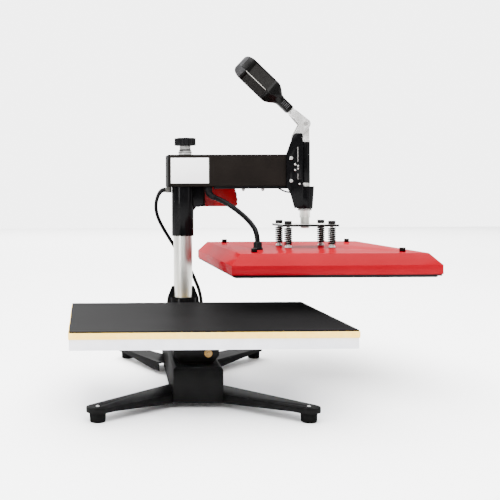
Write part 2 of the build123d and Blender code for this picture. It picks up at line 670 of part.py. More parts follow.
def button_places():
    """Three buttons in a row below the display."""
    low = -CONTROL_H / 4
    return [(-BUTTON_PITCH, low), (0, low), (BUTTON_PITCH, low)]


def control_panel():
    """Black panel on the leaning front, with holes for the buttons and a seat for the display."""
    wide = CONTROL_D - 2 * PANEL_MARGIN
    tall = CONTROL_H - 3 * PANEL_MARGIN
    panel = panel_block(wide, tall, 0, 0, 0, PANEL_T)
    panel = fillet(panel.edges().filter_by(lambda e: abs(e.length - PANEL_T) < 0.01), 4.0)
    panel -= panel_block(WINDOW_W, WINDOW_H, 0, CONTROL_H / 5, PANEL_T - WINDOW_T, PANEL_T + 1)
    for place in button_places():
        panel -= on_panel(place, -1, PANEL_T + 1, BUTTON_D + 2 * BOLT_PLAY)
    return panel


def display_window():
    """Dark window of the display, flush in the panel."""
    slack = 2 * RUN_FIT
    return panel_block(WINDOW_W - slack, WINDOW_H - slack, 0, CONTROL_H / 5, PANEL_T - WINDOW_T, PANEL_T)


def control_button(index):
    """Push button that slides in the panel."""
    place = button_places()[index]
    return on_panel(place, -BUTTON_H, PANEL_T + BUTTON_TRAVEL + 1, BUTTON_D)


def rocker_block(width, height, depth):
    """The space of the power rocker in the far wall of the controller."""
    x = (CONTROL_LEFT_X + CONTROL_SPLIT_X) / 2
    return box(x - width / 2, x + width / 2, CONTROL_FAR_Y - depth / 2, CONTROL_FAR_Y + depth / 2,
               CONTROL_MID_Z - height / 2, CONTROL_MID_Z + height / 2)


def rocker_switch():
    """Power rocker, hinged across its middle, with two slightly raised halves."""
    x = (CONTROL_LEFT_X + CONTROL_SPLIT_X) / 2
    half = ROCKER_H / 2 - 1.5
    outline = [(-1.5, -half), (4.2, -half), (2.6, 0), (4.2, half), (-1.5, half), (-3.5, 0)]
    face = make_face(Polyline(*[(0, y, z) for y, z in outline], close=True))
    body = extrude(face, amount=ROCKER_W, dir=(1, 0, 0))
    return Pos(x - ROCKER_W / 2, CONTROL_FAR_Y, CONTROL_MID_Z) * (Rot(ROCKER_TILT / 2, 0, 0) * body)


def supply_gland():
    """Elbow gland of the mains cord, under the rear of the arm, with its mouth to the rear."""
    part = rod(SUPPLY_GLAND_X, 0, ARM_BOTTOM_Z - SUPPLY_GLAND_H, ARM_BOTTOM_Z, SUPPLY_GLAND_D)
    mouth = Cylinder(SUPPLY_GLAND_D / 2 - 0.5, SUPPLY_GLAND_L, align=(Align.CENTER, Align.CENTER, Align.MIN))
    return part + Pos(SUPPLY_GLAND_X, 0, ARM_BOTTOM_Z - SUPPLY_GLAND_DROP) * (Rot(0, -90, 0) * mouth)


# Knob

def knob_stud():
    """Stud and nut under the clamp knob."""
    part = rod(KNOB_X, 0, POST_TOP_Z + SEAT, KNOB_BOTTOM_Z + KNOB_T / 2, STUD_D)
    nut_z = ARM_TOP_Z + COLLAR_T + SEAT
    nut = extrude(RegularPolygon(NUT_AF / 2, 6, major_radius=False), amount=NUT_T)
    return part + Pos(KNOB_X, 0, nut_z) * nut


def clamp_knob():
    """Star knob of black plastic."""
    head = rod(KNOB_X, 0, KNOB_BOTTOM_Z, KNOB_BOTTOM_Z + KNOB_T, KNOB_D)
    for i in range(KNOB_LOBES):
        angle = math.radians(360 * (i + 0.5) / KNOB_LOBES)
        radius = KNOB_D / 2 + 1.5
        x, y = KNOB_X + radius * math.cos(angle), radius * math.sin(angle)
        head -= rod(x, y, 0, KNOB_BOTTOM_Z + KNOB_T + 1, KNOB_SCALLOP_D)
    neck = rod(KNOB_X, 0, ARM_TOP_Z + COLLAR_T + SEAT + NUT_T, KNOB_BOTTOM_Z, KNOB_D / 2)
    return head + neck - rod(KNOB_X, 0, 0, KNOB_BOTTOM_Z + KNOB_T / 2, STUD_D)


# Ram

def ram_rod():
    """Ground ram rod: slim inside its sleeve, full size in the guide, waisted above the spring plate."""
    part = rod(REACH, 0, RAM_SLEEVE_BOTTOM_Z, RAM_SLEEVE_TOP_Z, RAM_CORE_D)
    step = SPRING_PLATE_TOP_Z + 14
    part += rod(REACH, 0, step, RAM_SLEEVE_BOTTOM_Z, RAM_D)
    part += rod(REACH, 0, SPRING_PLATE_TOP_Z, step, RAM_WAIST_D)
    part += rod(REACH, 0, SPRING_PLATE_Z, SPRING_PLATE_TOP_Z, RAM_WAIST_D - 4)
    return part + rod(REACH, 0, SPRING_PLATE_Z - 5, SPRING_PLATE_Z, RAM_WAIST_D)


def ram_sleeve():
    """Black sleeve over the upper ram."""
    return pipe(REACH, 0, RAM_SLEEVE_BOTTOM_Z, RAM_SLEEVE_TOP_Z, RAM_D, RAM_CORE_D)


def ram_clevis():
    """Tongue on top of the ram that carries the lever pin."""
    base = rod(REACH, 0, RAM_SLEEVE_TOP_Z, RAM_SLEEVE_TOP_Z + 4, RAM_D)
    half = TONGUE_T / 2
    tongue = box(REACH - TONGUE_W / 2, REACH + TONGUE_W / 2, -half, half, RAM_SLEEVE_TOP_Z + 4, PIVOT_Z)
    tongue += cross_rod(REACH, PIVOT_Z, -half, half, TONGUE_W)
    return base + tongue - cross_rod(REACH, PIVOT_Z, -RAM_D, RAM_D, PIVOT_D + 2 * RUN_FIT)


def spring_plate():
    """Plate at the foot of the ram that the four sprung bolts hang from."""
    half_w = SPRING_PLATE_W / 2
    half_d = SPRING_PLATE_D / 2
    plate = box(REACH - half_w, REACH + half_w, -half_d, half_d, SPRING_PLATE_Z, SPRING_PLATE_TOP_Z)
    plate = fillet(plate.edges().filter_by(Axis.Z), 6.0)
    plate -= rod(REACH, 0, 0, SPRING_PLATE_TOP_Z + 1, RAM_WAIST_D - 4)
    for x, y in corners(BOLT_SPACING_X, BOLT_SPACING_Y, REACH):
        plate -= rod(x, y, 0, SPRING_PLATE_TOP_Z + 1, SPRING_BOLT_D + 2 * BOLT_PLAY)
    return plate


# Lever and links

def lever_side(side):
    """One fork plate: heel, pivot eye and the strap that holds the bar."""
    y0, y1 = sorted((side * FORK_IN, side * FORK_OUT))
    pivot = (REACH, PIVOT_Z)
    plate = strap(pivot, FORK_R, HEEL_PIN, HEEL_R, y0, y1)
    plate += strap(pivot, FORK_R, polar(REACH, PIVOT_Z, FORK_END - HEEL_R, LEVER_ANGLE), HEEL_R, y0, y1)
    plate -= cross_rod(REACH, PIVOT_Z, y0 - 1, y1 + 1, PIVOT_D)
    return plate


def lever_fork():
    """The two fork plates of the lever."""
    return group([lever_side(-1), lever_side(1)])


def lever_pin():
    """Pivot pin, flush with the fork plates."""
    return cross_rod(REACH, PIVOT_Z, -FORK_OUT, FORK_OUT, PIVOT_D)


def lever_block(r0, r1, height, half_y):
    """A block along the lever, from one distance to another."""
    block = Box(r1 - r0, 2 * half_y, height, align=(Align.MIN, Align.CENTER, Align.CENTER))
    return Pos(REACH, 0, PIVOT_Z) * (Rot(0, -LEVER_ANGLE, 0) * (Pos(r0, 0, 0) * block))


def lever_bar():
    """Flat steel bar of the lever, held in the fork and reaching into the grip."""
    return lever_block(LEVER_BAR_START, LEVER_BAR_END, LEVER_BAR_W - 1, FORK_IN)


def grip_section(distance, height, depth, corner):
    """A cross-section of the grip, a diamond with rounded corners."""
    plane = Plane(origin=(0, 0, distance), x_dir=(1, 0, 0), z_dir=(0, 0, 1))
    shape = Polygon((height / 2, 0), (0, depth / 2), (-height / 2, 0), (0, -depth / 2))
    return plane * fillet(shape.vertices(), corner)


def lever_grip():
    """Moulded grip: a neck on the bar that widens into a faceted handle."""
    neck = GRIP_NECK * 1.3
    sections = [grip_section(GRIP_START, neck, neck, 2.5), grip_section(GRIP_NECK_END, neck, neck, 2.5)]
    sections += [grip_section(GRIP_SHOULDER, GRIP_HEIGHT + 6, GRIP_DEPTH + 4, 6.0)]
    sections += [grip_section(GRIP_END - 10, GRIP_HEIGHT + 6, GRIP_DEPTH + 4, 6.0)]
    sections += [grip_section(GRIP_END, GRIP_HEIGHT - 8, GRIP_DEPTH - 8, 5.0)]
    body = loft(sections, ruled=True)
    turned = Pos(REACH, 0, PIVOT_Z) * (Rot(0, 90 - LEVER_ANGLE, 0) * body)
    return turned - lever_block(0, LEVER_BAR_END, LEVER_BAR_W - 1, FORK_IN)


def toggle_links():
    """The pair of links from the fixed pin up to the lever's heel."""
    low = (LINK_PIN_X, LINK_PIN_Z)
    pieces = []
    for side in (-1, 1):
        y0, y1 = sorted((side * LINK_IN, side * LINK_OUT))
        link = strap(low, LINK_R + 2, HEEL_PIN, LINK_R, y0, y1)
        link -= cross_rod(*low, y0 - 1, y1 + 1, LINK_PIN_D + 2 * RUN_FIT)
        cap = sorted((side * LINK_OUT, side * (LINK_OUT + 2)))
        pieces.append(link + cross_rod(*HEEL_PIN, cap[0], cap[1], LINK_R))
    return group(pieces)


# Platen

def cover_solid(inset, floor_z):
    """The cover's outer form, or its hollow when drawn in by the wall."""
    wide = PLATEN_W - 2 * inset
    deep = PLATEN_D - 2 * inset
    side_top = COVER_BOTTOM_Z + COVER_SIDE_H - inset * math.tan(math.radians(22.5))
    top = COVER_TOP_Z - inset
    bevel = COVER_BEVEL * (top - side_top) / (COVER_TOP_Z - COVER_BOTTOM_Z - COVER_SIDE_H)
    low = Pos(REACH, 0, floor_z) * Box(wide, deep, side_top - floor_z, align=(Align.CENTER, Align.CENTER, Align.MIN))
    base = Pos(REACH, 0, side_top) * Rectangle(wide, deep)
    crown = Pos(REACH, 0, top) * Rectangle(wide - 2 * bevel, deep - 2 * bevel)
    return low + loft([base, crown])


def platen_cover():
    """Folded steel cover of the platen, open below."""
    part = cover_solid(0, COVER_BOTTOM_Z) - cover_solid(COVER_WALL, COVER_BOTTOM_Z - 1)
    for x, y in corners(BOLT_SPACING_X, BOLT_SPACING_Y, REACH):
        part -= rod(x, y, 0, COVER_TOP_Z + 1, SPRING_BOLT_D + 2 * BOLT_PLAY)
    for x, y in corners(SCREW_SPACING_X, SCREW_SPACING_Y, REACH):
        part -= rod(x, y, 0, COVER_TOP_Z + 1, SCREW_D + 2 * BOLT_PLAY)
    return part - rod(CONDUIT_END_X, CONDUIT_END_Y, 0, COVER_TOP_Z + 1, CONDUIT_D - 3)


def heat_plate():
    """Cast aluminium heat plate with a stepped rim."""
    flange = HEAT_FLANGE_INSET
    face = HEAT_FACE_INSET
    inside = COVER_WALL + SEAT
    part = plate_block(face, HEAT_PLATE_Z, HEAT_STEP_Z)
    part = chamfer(part.edges().filter_by(Axis.Z), 4.0)
    part += plate_block(flange, HEAT_STEP_Z, COVER_BOTTOM_Z)
    part += plate_block(inside, COVER_BOTTOM_Z, HEAT_PLATE_TOP_Z)
    for x, y in corners(BOLT_SPACING_X, BOLT_SPACING_Y, REACH):
        part -= rod(x, y, HEAT_STEP_Z, HEAT_PLATE_TOP_Z + 1, SPRING_BOLT_D + 2 * BOLT_PLAY)
    for x, y in corners(SCREW_SPACING_X, SCREW_SPACING_Y, REACH):
        part -= rod(x, y, HEAT_STEP_Z, HEAT_PLATE_TOP_Z + 1, SCREW_D + 2 * BOLT_PLAY)
    return part


def plate_block(inset, z0, z1):
    """A layer of the platen, drawn in from the cover's outline."""
    half_w = PLATEN_W / 2 - inset
    half_d = PLATEN_D / 2 - inset
    return box(REACH - half_w, REACH + half_w, -half_d, half_d, z0, z1)


def insulation_board():
    """Insulation board on the heat plate, under the cover."""
    inset = COVER_WALL + SEAT + COVER_BEVEL
    part = plate_block(inset, HEAT_PLATE_TOP_Z, HEAT_PLATE_TOP_Z + INSULATION_T)
    for x, y in corners(BOLT_SPACING_X, BOLT_SPACING_Y, REACH):
        part -= rod(x, y, 0, COVER_TOP_Z, SPRING_BOLT_D + 2 * BOLT_PLAY)
    for x, y in corners(SCREW_SPACING_X, SCREW_SPACING_Y, REACH):
        part -= rod(x, y, 0, COVER_TOP_Z, SCREW_D + 2 * BOLT_PLAY)
    return part


def spring_bolts():
    """Four bolts that hang the platen, with a black head and a steel cup for the spring."""
    pieces = []
    head_z = SPRING_PLATE_TOP_Z + SEAT
    for x, y in corners(BOLT_SPACING_X, BOLT_SPACING_Y, REACH):
        bolt = rod(x, y, HEAT_STEP_Z, head_z, SPRING_BOLT_D)
        bolt += rod(x, y, head_z, head_z + SPRING_BOLT_HEAD_T, SPRING_BOLT_HEAD_D)
        pieces.append(bolt + rod(x, y, COVER_TOP_Z, CUP_TOP_Z, SPRING_CUP_D))
    return group(pieces)


def pressure_springs():
    """Compression springs between the cups and the spring plate."""
    span = SPRING_PLATE_Z - CUP_TOP_Z - SPRING_WIRE - SEAT
    radius = (SPRING_D - SPRING_WIRE) / 2
    coil = Helix(pitch=span / SPRING_TURNS, height=span, radius=radius)
    start = coil ^ 0
    wire = sweep(start * Circle(SPRING_WIRE / 2), path=coil, is_frenet=True)
    low = CUP_TOP_Z + SPRING_WIRE / 2 + SEAT / 2
    return group([Pos(x, y, low) * wire for x, y in corners(BOLT_SPACING_X, BOLT_SPACING_Y, REACH)])


def cover_screws():
    """Four cap screws that hold the cover on the heat plate."""
    pieces = []
    for x, y in corners(SCREW_SPACING_X, SCREW_SPACING_Y, REACH):
        screw = rod(x, y, HEAT_STEP_Z, COVER_TOP_Z, SCREW_D)
        pieces.append(screw + rod(x, y, COVER_TOP_Z, COVER_TOP_Z + SCREW_HEAD_H, SCREW_HEAD_D))
    return group(pieces)


def platen_gland():
    """Gland where the conduit enters the platen."""
    x, y = CONDUIT_END_X, CONDUIT_END_Y
    top = COVER_TOP_Z + CONDUIT_GLAND_H
    part = rod(x, y, COVER_TOP_Z, top, CONDUIT_GLAND_D)
    part = chamfer(part.edges().group_by(Axis.Z)[-1], 1.5)
    part += rod(x, y, COVER_TOP_Z, COVER_TOP_Z + 5, CONDUIT_GLAND_D + 4)
    return part - rod(x, y, COVER_TOP_Z - 1, top + 1, CONDUIT_D + 2 * SEAT)


# Conduit and cord

def arc_tube(points, diameter):
    """A tube of straight runs joined by arcs as large as the runs allow."""
    vectors = [Vector(*p) for p in points]
    runs = [b - a for a, b in zip(vectors, vectors[1:])]
    radii = []
    for before, after in zip(runs, runs[1:]):
        half_turn = math.radians(before.get_angle(after)) / 2
        radii.append(0.45 * min(before.length, after.length) / math.tan(half_turn))
    path = FilletPolyline(*points, radius=radii)
    start = Plane(origin=path @ 0, z_dir=path % 0)
    tube = sweep(start * Circle(diameter / 2), path=path)
    expected = math.pi * diameter ** 2 / 4 * path.length
    print("tube length", round(path.length, 1), "volume ratio", round(tube.volume / expected, 4),
          "radii", [round(r) for r in radii])
    return tube


def conduit_gland():
    """Gland under the arm where the heater conduit leaves."""
    low = ARM_BOTTOM_Z - CONDUIT_TOP_GLAND_H
    return rod(CONDUIT_TOP_X, CONDUIT_TOP_Y, low, ARM_BOTTOM_Z, CONDUIT_GLAND_D)


def heater_conduit():
    """Flexible conduit from the arm to the platen."""
    top = ARM_BOTTOM_Z - CONDUIT_TOP_GLAND_H
    end = COVER_TOP_Z + FLOAT_TRAVEL + 1
    high = end + CONDUIT_LEAD_L
    route = [(CONDUIT_TOP_X, CONDUIT_TOP_Y, top), (CONDUIT_TOP_X, CONDUIT_TOP_Y, top - CONDUIT_D)]
    for across, down in ((0.29, 0.24), (0.62, 0.47), (0.88, 0.74)):
        x = CONDUIT_TOP_X + across * (CONDUIT_END_X - CONDUIT_TOP_X)
        y = CONDUIT_TOP_Y + down * (CONDUIT_END_Y - CONDUIT_TOP_Y)
        route.append((x, y, top + down * (high - top)))
    route += [(CONDUIT_END_X, CONDUIT_END_Y, high), (CONDUIT_END_X, CONDUIT_END_Y, end)]
    return arc_tube(route, CONDUIT_D)


CORD_START_X = SUPPLY_GLAND_X - SUPPLY_GLAND_L - SUPPLY_GLAND_CLEAR
CORD_START_Z = ARM_BOTTOM_Z - SUPPLY_GLAND_DROP
CORD_ROUTE = [
    (CORD_START_X, 0, CORD_START_Z), (CORD_START_X - 7, 0, CORD_START_Z), (-55, 2, 394), (-60, 5.5, 378),
    (-60.5, 9.5, 361), (-56, 14.5, 343), (-46.5, 21, 323.5), (-34, 28, 303), (-20, 35, 281), (-4, 39, 258), (13, 43, 234),
    (26, 46, 212), (36, 50, 190), (44, 54, 170), (49, 58, 148), (51, 63, 121), (50, 71, 89), (47, 84, 56),
    (42, 105, 28), (37, 131, 11), (32, 160, 5), (26, 190, 4.3), (18, 222, 4.3), (13, 254, 4.3), (11.8, 285, 4.3),
]

TAIL_ROUTE = [(66, 335, 12.3), (84, 335.5, 12.2), (102, 338, 9.2), (120, 342, 6.2), (140, 344, 6.2)]


def mains_cord():
    """Free stretch of the mains cord, from the gland down behind the post to the coil."""
    return arc_tube(CORD_ROUTE, CORD_D)


def cord_coil():
    """The spare cord, wound up behind the machine."""
    inner = COIL_MEAN_D - COIL_COLUMNS * CORD_D
    outer = COIL_MEAN_D + COIL_COLUMNS * CORD_D
    ring = pipe(COIL_X, COIL_Y, CORD_FLOOR_GAP, CORD_FLOOR_GAP + COIL_LAYERS * CORD_D, outer, inner)
    return ring + arc_tube(TAIL_ROUTE, CORD_D)


def mains_plug():
    """Plug at the end of the cord, lying beside the coil."""
    x, y, z = TAIL_ROUTE[-1]
    body = box(x, x + PLUG_L, y - PLUG_W / 2, y + PLUG_W / 2, CORD_FLOOR_GAP, CORD_FLOOR_GAP + PLUG_H)
    body = fillet(body.edges().filter_by(Axis.X), 5.0)
    for side in (-1, 1):
        pin = Cylinder(PLUG_PIN_D / 2, PLUG_PIN_L, align=(Align.CENTER, Align.CENTER, Align.MIN))
        middle = CORD_FLOOR_GAP + PLUG_H / 2
        body += Pos(x + PLUG_L, y + side * PLUG_PIN_PITCH / 2, middle) * (Rot(0, 90, 0) * pin)
    return body


def make_parts():
    """Every node of the machine, by name."""
    parts = {"base_spine": base_spine()}
    roots = {"front": FRONT_ROOT_Y, "rear": REAR_ROOT_Y}
    for name, (x, y) in foot_places().items():
        side = -1 if x < 0 else 1
        parts["leg_" + name] = leg(side, abs(x), y, roots[name.split("_")[0]])
        parts["foot_" + name] = rubber_foot(x, y)
    parts["base_fasteners"] = base_fasteners()
    parts["bed_pedestal"] = bed_pedestal()
    parts["post_socket"] = post_socket()
    parts = {name: Rot(0, 0, -BASE_TURN) * shape for name, shape in parts.items()}
    parts["bed_plate"] = bed_plate()
    parts["bed_foam"] = bed_foam()
    parts["bed_mat"] = bed_mat()
    parts["post"] = post()
    parts["arm_tube"] = arm_tube()
    parts["arm_end_cap"] = arm_end_cap()
    parts["post_sleeve"] = post_sleeve()
    parts["sleeve_bushes"] = sleeve_bushes()
    parts["knob_collar"] = knob_collar()
    parts["rating_plate"] = rating_plate()
    parts["cheek_near"] = cheek(-1)
    parts["cheek_far"] = cheek(1)
    parts["cheek_bolts"] = cheek_bolts()
    parts["guide_housing"] = guide_housing()
    parts["guide_bush"] = guide_bush()
    parts["link_pin"] = link_pin()
    parts["control_back"] = control_back()
    parts["control_hood"] = control_hood()
    parts["control_panel"] = control_panel()
    parts["display_window"] = display_window()
    parts["supply_gland"] = supply_gland()
    parts["conduit_gland"] = conduit_gland()
    parts["heater_conduit"] = heater_conduit()
    parts["knob_stud"] = knob_stud()
    parts["clamp_knob"] = clamp_knob()
    parts["ram_rod"] = ram_rod()
    parts["ram_sleeve"] = ram_sleeve()
    parts["ram_clevis"] = ram_clevis()
    parts["spring_plate"] = spring_plate()
    parts["lever_fork"] = lever_fork()
    parts["lever_pin"] = lever_pin()
    parts["lever_bar"] = lever_bar()
    parts["lever_grip"] = lever_grip()
    parts["toggle_links"] = toggle_links()
    parts["platen_cover"] = platen_cover()
    parts["heat_plate"] = heat_plate()
    parts["insulation_board"] = insulation_board()
    parts["spring_bolts"] = spring_bolts()
    parts["pressure_springs"] = pressure_springs()
    parts["cover_screws"] = cover_screws()
    parts["platen_gland"] = platen_gland()
    for index, name in enumerate(("button_set", "button_down", "button_up")):
        parts[name] = control_button(index)
    parts["power_rocker"] = rocker_switch()
    parts["mains_cord"] = mains_cord()
    parts["cord_coil"] = cord_coil()
    parts["mains_plug"] = mains_plug()
    return parts


def main():
    """Centre the machine on the origin, without its cord, and write one file per node."""
    parts = make_parts()
    cord = ("mains_cord", "cord_coil", "mains_plug")
    whole = Compound([shape for name, shape in parts.items() if name not in cord]).bounding_box()
    offset = (-(whole.min.X + whole.max.X) / 2, -(whole.min.Y + whole.max.Y) / 2, -whole.min.Z)
    print("offset", [round(v, 4) for v in offset], "lever", round(LEVER_TURN, 3), "link", round(LINK_TURN, 3))
    os.makedirs("parts", exist_ok=True)
    for name, shape in parts.items():
        export_step(Pos(*offset) * shape, f"parts/{name}.step")


main()
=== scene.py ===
import json
import math
import bpy
from mathutils import Matrix, Vector, noise

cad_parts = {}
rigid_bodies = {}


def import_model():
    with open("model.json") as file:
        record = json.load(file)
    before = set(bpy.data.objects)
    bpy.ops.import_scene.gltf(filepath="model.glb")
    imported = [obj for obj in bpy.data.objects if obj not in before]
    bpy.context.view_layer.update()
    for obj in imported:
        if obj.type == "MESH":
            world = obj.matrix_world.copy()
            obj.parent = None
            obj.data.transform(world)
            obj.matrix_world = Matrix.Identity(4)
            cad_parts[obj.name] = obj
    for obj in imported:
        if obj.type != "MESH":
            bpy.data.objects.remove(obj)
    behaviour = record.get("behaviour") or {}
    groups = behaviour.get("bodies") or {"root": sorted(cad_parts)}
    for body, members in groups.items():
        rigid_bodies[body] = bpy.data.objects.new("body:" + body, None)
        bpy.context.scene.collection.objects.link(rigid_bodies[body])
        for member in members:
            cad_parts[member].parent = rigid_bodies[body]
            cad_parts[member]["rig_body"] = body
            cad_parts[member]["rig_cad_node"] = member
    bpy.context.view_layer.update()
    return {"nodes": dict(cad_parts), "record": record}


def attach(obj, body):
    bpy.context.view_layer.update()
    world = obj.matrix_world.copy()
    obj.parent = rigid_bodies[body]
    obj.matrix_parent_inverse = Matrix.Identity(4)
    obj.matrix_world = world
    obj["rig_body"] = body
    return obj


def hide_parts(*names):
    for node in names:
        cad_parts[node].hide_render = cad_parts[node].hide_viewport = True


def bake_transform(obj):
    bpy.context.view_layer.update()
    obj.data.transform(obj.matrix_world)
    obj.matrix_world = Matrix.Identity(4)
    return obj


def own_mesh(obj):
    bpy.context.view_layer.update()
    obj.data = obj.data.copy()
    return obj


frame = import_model()

# Places are in millimetres from the post's axis at the floor, as the machine is drawn
POST_X, POST_Y = -119.25, 119.4631
BASE_TURN = 2.3
REACH = 279.0
BED_W, BED_D, BED_Y = 500.0, 400.0, -REACH
BED_TOP_Z, MAT_T, FOAM_T, FOAM_OUT = 158.0, 2.5, 11.0, 1.3
ARM_BOTTOM_Z, ARM_TOP_Z, ARM_SIDE_Y = 411.0, 483.0, 30.0
CHEEK_Y = 35.0
KNOB_X = 6.0
PIVOT_Z, LEVER_ANGLE = 553.0, 136.0
COVER_TOP_Z = 273.6
SPRING_PLATE_TOP_Z = 326.0
SPRING_FOOT_Z, SPRING_WIRE_R, SPRING_MEAN_R, SPRING_PITCH, SPRING_TURNS = 280.4, 1.6, 7.4, 4.7, 8
SPRING_BOLTS = [(REACH + x, y) for x in (-49, 49) for y in (-45, 45)]
COVER_SCREWS = [(REACH + x, y) for x in (-153.5, 153.5) for y in (-190, 190)]
FEET = [(-182, -469), (182, -469), (-126, 122), (178, 122)]


def spot(x, y, z):
    """A place on the machine, in metres in the row frame."""
    return ((x + POST_X) / 1000, (y + POST_Y) / 1000, z / 1000)


def on_base(x, y):
    """A place on the base, which is turned a little about the post."""
    turn = math.radians(-BASE_TURN)
    return x * math.cos(turn) - y * math.sin(turn), x * math.sin(turn) + y * math.cos(turn)


# Working in Blender

def pick(*pieces):
    """Selects these pieces and nothing else."""
    bpy.ops.object.select_all(action="DESELECT")
    for piece in pieces:
        piece.select_set(True)
    bpy.context.view_layer.objects.active = pieces[0]


def settle(piece):
    """Puts the piece's place and turn into its mesh, with its object at the origin."""
    pick(piece)
    bpy.ops.object.transform_apply(location=True, rotation=True, scale=True)
    return piece


def box_at(middle, size):
    """A box of a size round a place, both in metres."""
    bpy.ops.object.select_all(action="DESELECT")
    bpy.ops.mesh.primitive_cube_add(size=1, location=middle, scale=size)
    return settle(bpy.context.object)


def block(x0, x1, y0, y1, z0, z1):
    """A box between two corners on the machine, ready to be shaped."""
    return box_at(spot((x0 + x1) / 2, (y0 + y1) / 2, (z0 + z1) / 2),
                  ((x1 - x0) / 1000, (y1 - y0) / 1000, (z1 - z0) / 1000))


def chamfered(piece, width, segments=3, angle=35):
    """Breaks the piece's sharp edges."""
    pick(piece)
    edge = piece.modifiers.new("edges", "BEVEL")
    edge.width = width / 1000
    edge.segments = segments
    edge.limit_method = "ANGLE"
    edge.angle_limit = math.radians(angle)
    bpy.ops.object.modifier_apply(modifier=edge.name)
    bpy.ops.object.shade_smooth_by_angle(angle=math.radians(40))
    return piece


def joined(name, pieces):
    """Several worked pieces made one."""
    pick(*pieces)
    if len(pieces) > 1:
        bpy.ops.object.join()
    whole = bpy.context.object
    whole.name = name
    whole.data.name = name
    return whole


def copied(piece, dx, dy):
    """A copy of a piece with its own mesh, moved by millimetres."""
    pick(piece)
    bpy.ops.object.duplicate()
    copy = bpy.context.object
    copy.location = (dx / 1000, dy / 1000, 0)
    return settle(copy)


def repeated(name, piece, places):
    """One piece worked at the first place, repeated at the others."""
    x, y = places[0]
    return joined(name, [piece] + [copied(piece, other_x - x, other_y - y) for other_x, other_y in places[1:]])


def start_editing(piece):
    """Opens the piece's mesh with all of it selected."""
    pick(piece)
    bpy.ops.object.mode_set(mode="EDIT")
    bpy.ops.mesh.select_all(action="SELECT")


def done_editing():
    """Closes the mesh that is open."""
    bpy.ops.object.mode_set(mode="OBJECT")


def faces_outwards():
    """Turns the selected faces outwards and closes the mesh."""
    bpy.ops.mesh.normals_make_consistent(inside=False)
    done_editing()


def cut_by(piece, cutter):
    """Takes one form out of another."""
    pick(piece)
    opening = piece.modifiers.new("opening", "BOOLEAN")
    opening.object = cutter
    opening.operation = "DIFFERENCE"
    opening.solver = "EXACT"
    bpy.ops.object.modifier_apply(modifier=opening.name)
    bpy.data.objects.remove(cutter)
    return piece


def subdivided(piece, cuts):
    """Gives the piece finer faces."""
    start_editing(piece)
    bpy.ops.mesh.subdivide(number_cuts=cuts)
    done_editing()
    return piece


def from_cad(node, width):
    """A copy of a CAD node with its edges broken, standing for the node."""
    pick(frame["nodes"][node])
    bpy.ops.object.duplicate()
    piece = bpy.context.object
    piece.parent = None
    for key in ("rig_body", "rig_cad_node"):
        if key in piece:
            del piece[key]
    piece.name = "made_" + node
    start_editing(piece)
    bpy.ops.mesh.customdata_custom_splitnormals_clear()
    bpy.ops.mesh.remove_doubles(threshold=0.000005)
    bpy.ops.mesh.dissolve_limited(angle_limit=math.radians(0.5))
    done_editing()
    chamfered(piece, width, 2)
    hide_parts(node)
    return piece


def finish_piece(piece, body, material, slot, *nodes, others=()):
    """Gives a piece its material, seats it on its body and hides what it stands for; the slot is not used."""
    chosen = [face.material_index for face in piece.data.polygons]
    piece.data.materials.clear()
    for each in (material, *others):
        piece.data.materials.append(each)
    if others:
        for face, index in zip(piece.data.polygons, chosen):
            face.material_index = index
    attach(piece, body)
    if nodes:
        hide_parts(*nodes)
    return piece


# Finishes

def coating(name, colour, roughness, metallic=0.0, coat=0.0, coat_roughness=0.08, shine=0.0):
    """A new material with its even values set on the shader."""
    material = bpy.data.materials.new(name)
    material.use_nodes = True
    shader = shader_of(material)
    shader.inputs["Base Color"].default_value = (*colour, 1)
    shader.inputs["Roughness"].default_value = roughness
    shader.inputs["Metallic"].default_value = metallic
    shader.inputs["Specular IOR Level"].default_value = shine
    shader.inputs["Coat Weight"].default_value = coat
    shader.inputs["Coat Roughness"].default_value = coat_roughness
    return material


def shader_of(material):
    """The material's own shader."""
    return material.node_tree.nodes["Principled BSDF"]


def part_of(material, kind):
    """A new node in the material."""
    return material.node_tree.nodes.new(kind)


def wire(material, source, target):
    """Joins two sockets."""
    material.node_tree.links.new(source, target)


def spanned(material, source, span_from, span_to, curve="LINEAR"):
    """A value carried from one span to another."""
    span = part_of(material, "ShaderNodeMapRange")
    span.interpolation_type = curve
    span.inputs["From Min"].default_value, span.inputs["From Max"].default_value = span_from
    span.inputs["To Min"].default_value, span.inputs["To Max"].default_value = span_to
    wire(material, source, span.inputs["Value"])
    return span.outputs["Result"]


def pattern_of(material, kind, scale, stretch=(1, 1, 1)):
    """A pattern laid through the piece, stretched along an axis if asked."""
    place = part_of(material, "ShaderNodeTexCoord")
    fit = part_of(material, "ShaderNodeMapping")
    fit.inputs["Scale"].default_value = stretch
    wire(material, place.outputs["Object"], fit.inputs["Vector"])
    pattern = part_of(material, kind)
    pattern.inputs["Scale"].default_value = scale
    wire(material, fit.outputs["Vector"], pattern.inputs["Vector"])
    return pattern


def cloud(material, scale, detail=4.0, stretch=(1, 1, 1)):
    """Soft noise."""
    noise_pattern = pattern_of(material, "ShaderNodeTexNoise", scale, stretch)
    noise_pattern.inputs["Detail"].default_value = detail
    return noise_pattern.outputs["Fac"]


def cells(material, scale):
    """Small grains side by side."""
    return pattern_of(material, "ShaderNodeTexVoronoi", scale).outputs["Distance"]


def vary_roughness(material, source, low, high):
    """Roughness that wanders between two values."""
    wire(material, spanned(material, source, (0.3, 0.7), (low, high)), shader_of(material).inputs["Roughness"])


def vary_colour(material, source, dark, light):
    """Colour that wanders between two tones."""
    ramp = part_of(material, "ShaderNodeValToRGB")
    for stop, place, tone in zip(ramp.color_ramp.elements, (0.35, 0.65), (dark, light)):
        stop.position = place
        stop.color = (*tone, 1)
    wire(material, source, ramp.inputs["Fac"])
    wire(material, ramp.outputs["Color"], shader_of(material).inputs["Base Color"])


